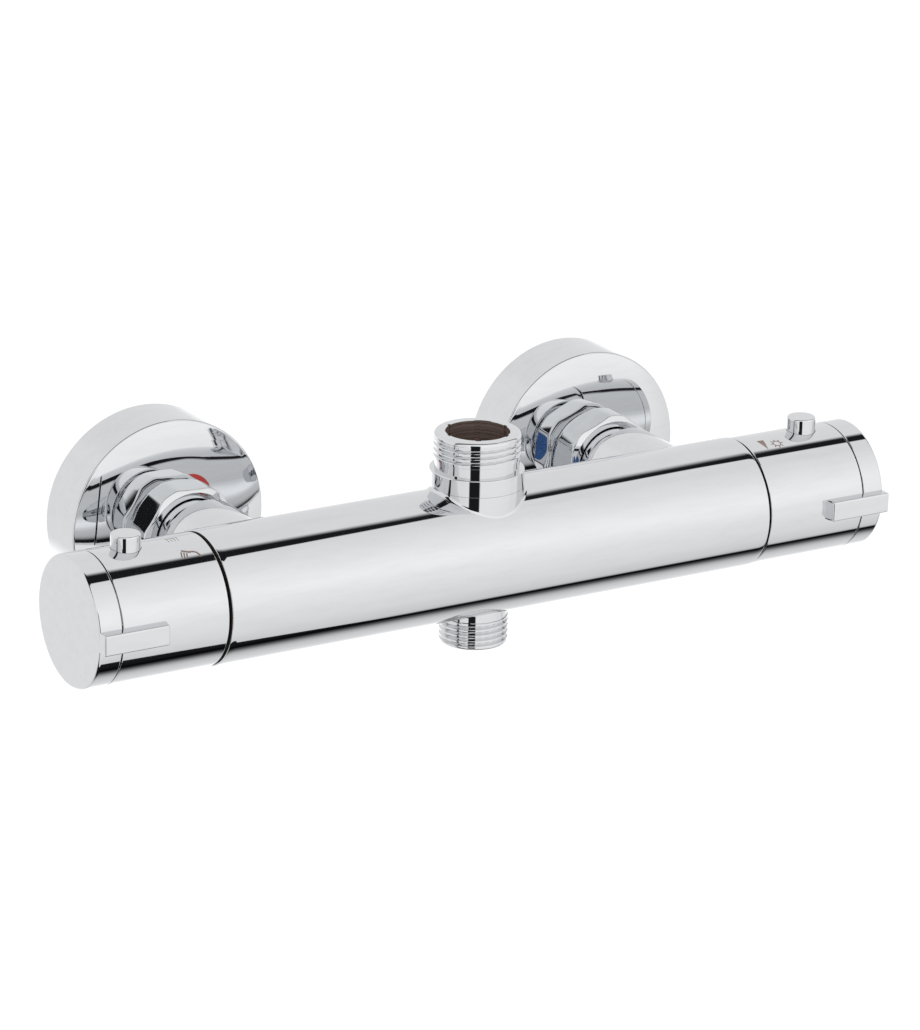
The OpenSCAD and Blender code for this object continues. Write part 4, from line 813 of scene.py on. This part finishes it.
# %% Make a finish from an effect
def finish(name, effect_tree, values, dark, light, metallic, smooth, dull, bump, tone="Tone"):
    """dark and light are the two ends of the colour; smooth and dull of the roughness.

    values: the effect's inputs, each a number or the letter of an axis. bump: strength and depth in m.
    """
    material = bpy.data.materials.new(name)
    material.use_nodes = True
    tree = material.node_tree
    shader = tree.nodes["Principled BSDF"]
    shader.inputs["Metallic"].default_value = metallic
    look = tree.nodes.new("ShaderNodeGroup")
    look.node_tree = effect_tree
    for key, value in values.items():
        if isinstance(value, str):
            where = node(tree, "SeparateXYZ", {0: node(tree, "TexCoord").outputs["Object"]})
            tree.links.new(where.outputs[value], look.inputs[key])
        else:
            look.inputs[key].default_value = value
    colour = node(tree, "Mix", {0: look.outputs[tone], 6: (*dark, 1), 7: (*light, 1)}, data_type="RGBA")
    tree.links.new(colour.outputs[2], shader.inputs["Base Color"])
    gloss = node(tree, "MapRange", {"Value": look.outputs[tone], "To Min": smooth, "To Max": dull})
    tree.links.new(gloss.outputs[0], shader.inputs["Roughness"])
    raised = node(tree, "Bump", {"Height": look.outputs["Height"], "Strength": bump[0], "Distance": bump[1]})
    tree.links.new(raised.outputs[0], shader.inputs["Normal"])
    material.diffuse_color = (*light, 1)
    return material


print("a finish takes its colour, gloss and relief from one effect")

# %% Mix the finishes
finish_of = {
    "chrome": finish("polished_chrome", polish, {}, (0.70, 0.71, 0.725), (0.675, 0.685, 0.70),
                     1.0, 0.02, 0.045, (0.13, 0.00001), tone="Wipe"),
    "machined_brass": finish("turned_brass", rings_group, {"Along": "X"},
                             (0.62, 0.44, 0.20), (0.78, 0.60, 0.32), 1.0, 0.18, 0.34, (0.3, 0.00002)),
    "rubber_black": finish("black_rubber", grain, {"Size": 2600.0},
                           (0.012, 0.012, 0.013), (0.03, 0.03, 0.031), 0.0, 0.55, 0.72, (0.3, 0.00003)),
    "spring_steel": finish("drawn_steel", polish, {"Wipe Size": 900.0}, (0.50, 0.50, 0.51),
                           (0.62, 0.62, 0.63), 1.0, 0.18, 0.32, (0.3, 0.00001), tone="Wipe"),
    "ivory_plastic": finish("ivory_acetal", grain, {}, (0.74, 0.70, 0.58), (0.82, 0.78, 0.67),
                            0.0, 0.38, 0.5, (0.25, 0.00003)),
    "white_plastic": finish("white_acetal", grain, {}, (0.76, 0.76, 0.75), (0.84, 0.84, 0.83),
                            0.0, 0.36, 0.48, (0.25, 0.00003)),
    "orange_plastic": finish("orange_nylon", grain, {}, (0.72, 0.20, 0.03), (0.82, 0.27, 0.05),
                             0.0, 0.4, 0.52, (0.25, 0.00003)),
    "grey_plastic": finish("grey_nylon", grain, {}, (0.13, 0.135, 0.14), (0.20, 0.205, 0.215),
                           0.0, 0.42, 0.55, (0.25, 0.00003)),
    "ceramic_white": finish("lapped_ceramic", polish, {"Ripple Size": 700.0},
                            (0.78, 0.77, 0.73), (0.85, 0.84, 0.81),
                            0.0, 0.08, 0.2, (0.1, 0.00001), tone="Wipe"),
    "copper_alloy": finish("drawn_copper", rings_group, {"Along": "X", "Feed": 0.0004},
                           (0.55, 0.27, 0.15), (0.75, 0.43, 0.28), 1.0, 0.2, 0.36, (0.3, 0.00002)),
    "red_mark": finish("red_enamel", grain, {"Size": 900.0}, (0.52, 0.025, 0.02), (0.62, 0.04, 0.03),
                       0.0, 0.22, 0.32, (0.12, 0.00002)),
    "blue_mark": finish("blue_enamel", grain, {"Size": 900.0}, (0.010, 0.075, 0.26), (0.016, 0.11, 0.34),
                        0.0, 0.22, 0.32, (0.12, 0.00002)),
    "etched_sign": finish("laser_etch", grain, {"Size": 5200.0}, (0.17, 0.12, 0.10), (0.30, 0.225, 0.195),
                          0.35, 0.55, 0.7, (0.4, 0.00002)),
    # near-black brass for the faces inside the seams and the sleeves' insides: painted shade
    "gap_shadow": finish("painted_seam_shade", rings_group, {"Along": "X"},
                         (0.022, 0.018, 0.016), (0.055, 0.045, 0.038), 0.3, 0.45, 0.65, (0.3, 0.00002)),
    "raw_bore": finish("unplated_bore", rings_group, {"Along": "Z", "Feed": 0.0003},
                       (0.26, 0.20, 0.178), (0.56, 0.46, 0.41), 0.85, 0.2, 0.38, (0.35, 0.00003)),
}
print(len(finish_of), "finishes")

# %% Give every piece and every solid its finish
for part in frame["record"]["subparts"]:
    solid = frame["nodes"][part["node"]]
    solid.data.materials.clear()
    solid.data.materials.append(finish_of[part["material_slot"]])
for piece, name in finishes:
    piece.data.materials.clear()
    piece.data.materials.append(finish_of[name])
print("finished:", len(frame["nodes"]), "solids and", len(finishes), "new pieces")

# %% [markdown]
# ### Seams and bores
#
# Plating hardly reaches into a narrow gap, so the faces that only show as a line
# between two pieces are bare brass, and their near-black colour is painted shade,
# so the seams stay dark from every side. The bores of the two outlets are bare
# metal. The faces are picked by where they lie, which needs no second mesh and no
# painted mask.

# %% Paint shade into the seams
LIP = 0.02  # mm; a face this near to the end of its piece belongs to the end
new_pieces = {piece.name: piece for piece, name in finishes}


def paint_gap_shade(piece, chosen):
    """Paints shade on the faces that chosen picks. chosen gets the places along the bar and the distances
    from its axis of a face's corners, in mm.
    """
    piece.data.materials.append(finish_of["gap_shadow"])
    for face in piece.data.polygons:
        corners = [piece.data.vertices[i].co for i in face.vertices]
        reach = [math.hypot(c.y - bar_y, c.z - bar_z) / MM for c in corners]
        if chosen([abs(c.x) / MM for c in corners], reach):
            face.material_index = 1


def rear_or_bore(x, r):
    """The end of a sleeve towards the bar, and its inside."""
    return max(x) < sleeve_from + LIP and max(r) < 19.65 or max(r) < sleeve_bore + 0.2


# painted shade on the bar's ends, the sleeves' ends and insides, and the cap's front inside the seams
paint_gap_shade(bar, lambda x, r: min(x) > bar_half - LIP and max(r) < 19.97)
paint_gap_shade(new_pieces["flow_sleeve_turned"], rear_or_bore)
paint_gap_shade(new_pieces["temperature_sleeve_turned"], lambda x, r: rear_or_bore(x, r) or min(x) > sleeve_to - LIP)
paint_gap_shade(new_pieces["temperature_cap_turned"], lambda x, r: max(x) < cap_from + LIP)
print("four pieces have a gap with painted shade")

# %% Bare the bores
for piece, reach in ((top, 11.1), (foot, 6.9)):
    piece.data.materials.append(finish_of["raw_bore"])
    for face in piece.data.polygons:
        off = [math.hypot(piece.data.vertices[i].co.x, piece.data.vertices[i].co.y - bar_y) / MM
               for i in face.vertices]
        if max(off) < reach and (face.center.z - bar_z) / MM < 37.5:  # the top's rim is plated
            face.material_index = 1
    print(piece.name, "is bare inside", reach, "mm")

# %% [markdown]
# ## The studio
#
# A mirror shows its room, so the room is drawn first and lit second. It is a
# white tent: pale walls all round, brightest low behind the valve, with a dark
# slot nearly overhead, another underneath, and the dark opening where the camera
# looks in. A handful of lamps would leave hard patches on chrome. A world made
# from the direction of view gives smooth bands with no noise. The floor and the
# unpolished pieces are lit evenly instead, by a plain white sky.

# %% Draw the tent
world = bpy.data.worlds.new("studio_tent")
bpy.context.scene.world = world
world.use_nodes = True
tent = world.node_tree
tent.nodes.clear()
MIRRORED = 0.69  # the part of the light that chrome gives back


def linear(level):
    """The light that looks as bright as a display level of 0 to 1, seen in chrome."""
    return ((level + 0.055) / 1.055) ** 2.4 / MIRRORED


look = node(tent, "SeparateXYZ", {0: node(tent, "TexCoord").outputs["Generated"]})
x, y, z = look.outputs
forward_part = sums(tent, "MULTIPLY", y, -1.0)
height_angle = sums(tent, "ARCTAN2", z, forward_part)
around = sums(tent, "MULTIPLY_ADD", height_angle, 1 / (2 * math.pi), 0.5)
walls = node(tent, "ValToRGB", {0: around})
# degrees round the bar's axis, from straight ahead over the top, and the display level there
stops = [(-180, 0.83), (-172, 0.87), (-165, 0.945), (-152, 1.0), (-142, 0.98), (-135, 0.90), (-124, 0.81),
         (-113, 0.785), (-103, 0.75), (-96, 0.66), (-91, 0.52), (-87, 0.33), (-83, 0.16), (-77.5, 0.13),
         (-75, 0.72), (-70, 0.775), (-60, 0.80), (-50, 0.826), (-39, 0.84), (-28, 0.853), (-18, 0.867),
         (-7, 0.882), (4, 0.904), (14, 0.918), (25, 0.910), (36, 0.893), (46, 0.875), (57, 0.859),
         (72, 0.838), (80, 0.82), (105, 0.825), (178, 0.81)]
ramp = walls.color_ramp
while len(ramp.elements) < len(stops):
    ramp.elements.new(0.5)
for element, (angle, level) in zip(ramp.elements, stops):
    element.position = (angle + 180) / 360
# a moved element can change places with another, so the colours come after all the moves
for element, (angle, level) in zip(ramp.elements, stops):
    element.color = (linear(level),) * 3 + (1,)
print("tent walls:", len(ramp.elements), "levels")

# %% [markdown]
# ### The dark openings
#
# The black stripes are what make chrome look like chrome. They could be black
# cards in the scene, but cards cast shadows. Here a direction of view is followed
# to a level plane overhead or underfoot, and a soft-edged strip is drawn there.

# %% Shape an opening
def between(value, low, high, soft, far_soft=None):
    """1 between low and high, falling softly to 0; far_soft is the softness at the high side."""
    far_soft = far_soft or soft
    up = node(tent, "MapRange", {"Value": value, "From Min": low, "From Max": sums(tent, "ADD", low, soft)},
              interpolation_type="SMOOTHSTEP").outputs[0]
    down = node(tent, "MapRange", {"Value": value, "From Min": sums(tent, "SUBTRACT", high, far_soft),
                                   "From Max": high, "To Min": 1.0, "To Max": 0.0},
                interpolation_type="SMOOTHSTEP").outputs[0]
    return sums(tent, "MULTIPLY", up, down)


def widen(value, at_value, slope, base, least, most):
    """base plus slope for each step that value is beyond at_value, kept within limits."""
    grown = sums(tent, "MULTIPLY_ADD", sums(tent, "SUBTRACT", value, at_value), slope, base)
    return sums(tent, "MINIMUM", sums(tent, "MAXIMUM", grown, least), most)


print("an opening has two soft edges, and an edge may widen along its length")

# %% Cut the dark openings
# p and q are the place where a direction meets a level plane one metre above or below
overhead = sums(tent, "MAXIMUM", z, 0.02)
p, q = sums(tent, "DIVIDE", x, overhead), sums(tent, "DIVIDE", y, overhead)
slot_near = widen(p, 0.63, 1.7, 0.085, -0.26, 0.085)
slot_far = widen(p, 0.55, 1.5, 0.24, 0.24, 0.45)
top_slot = sums(tent, "MULTIPLY", between(q, slot_near, slot_far, 0.035, 0.16),
                sums(tent, "GREATER_THAN", z, 0.1))
underfoot = sums(tent, "MAXIMUM", sums(tent, "MULTIPLY", z, -1.0), 0.02)
p, q = sums(tent, "DIVIDE", x, underfoot), sums(tent, "DIVIDE", y, underfoot)
foot_near = widen(p, 0.555, 8.0, -0.23, -0.5, -0.23)
foot_slot = sums(tent, "MULTIPLY", between(q, foot_near, -0.12, 0.03),
                 sums(tent, "LESS_THAN", z, -0.1))
sideways = sums(tent, "ARCTAN2", x, forward_part)
column = sums(tent, "MULTIPLY", between(sideways, math.radians(-50), math.radians(-22), 0.05),
              between(z, -0.64, 0.46, 0.1))
dark = sums(tent, "MAXIMUM", sums(tent, "MAXIMUM", top_slot, foot_slot), column)
print("dark openings: overhead, underneath and at the camera")

# %% [markdown]
# ### Two skies
#
# What chrome mirrors and what lights the floor are two different needs. One world
# could do both, but its dark slots would dim the floor. The ray's kind decides
# here: glossy rays see the tent, all others an even white.

# %% Light it
def beyond(value, first, full):
    """0 up to first, 1 from full on."""
    return node(tent, "MapRange", {"Value": value, "From Min": first, "From Max": full},
                interpolation_type="SMOOTHSTEP").outputs[0]


end_wall = beyond(sums(tent, "ABSOLUTE", x), 0.72, 0.93)
left_corner = sums(tent, "MULTIPLY", beyond(x, -0.12, -0.34), beyond(y, 0.1, 0.5))
plain = (linear(0.835),) * 3 + (1,)
with_ends = node(tent, "Mix", {0: sums(tent, "MAXIMUM", end_wall, left_corner), 6: walls.outputs[0],
                               7: plain}, data_type="RGBA").outputs[2]
with_dark = node(tent, "Mix", {0: sums(tent, "MULTIPLY", dark, 0.99), 6: with_ends,
                               7: (0.004, 0.004, 0.006, 1)}, data_type="RGBA").outputs[2]
mirrored = node(tent, "Background", {0: with_dark, 1: 1.0}).outputs[0]
even_sky = node(tent, "Background", {0: (1, 1, 1, 1), 1: 1.3}).outputs[0]
ray = node(tent, "LightPath").outputs["Is Glossy Ray"]
both = node(tent, "MixShader", {0: ray, 1: even_sky, 2: mirrored}).outputs[0]
node(tent, "OutputWorld", {0: both})
bpy.context.scene.view_settings.view_transform = "Standard"
bpy.context.scene.view_settings.look = "None"
print("the chrome sees the tent, everything else an even white sky")

# %% [markdown]
# ## The floor
#
# The photograph has no horizon and no shadow: the valve seems to hang in white.
# A pale floor well below it gives the same, because its soft shadow spreads so
# wide that it disappears. Chrome would show the floor's edge as a hard line, so
# the floor is left out of the mirrors, where the tent already has its own.

# %% Lay the floor
bm = bmesh.new()
bmesh.ops.create_grid(bm, x_segments=8, y_segments=8, size=30)  # m, far past the picture's edge
floor_mesh = bpy.data.meshes.new("paper_floor")
bm.to_mesh(floor_mesh)
bm.free()
floor = bpy.data.objects.new("paper_floor", floor_mesh)
floor.location = (0, 0, -0.45)
bpy.context.scene.collection.objects.link(floor)
floor.visible_glossy = False
floor.data.materials.append(finish("white_paper", grain, {"Size": 300.0}, (0.80, 0.80, 0.80),
                                   (0.84, 0.84, 0.84), 0.0, 0.8, 0.95, (0.1, 0.0002)))
print("floor at", round(floor.location.z, 2), "m")
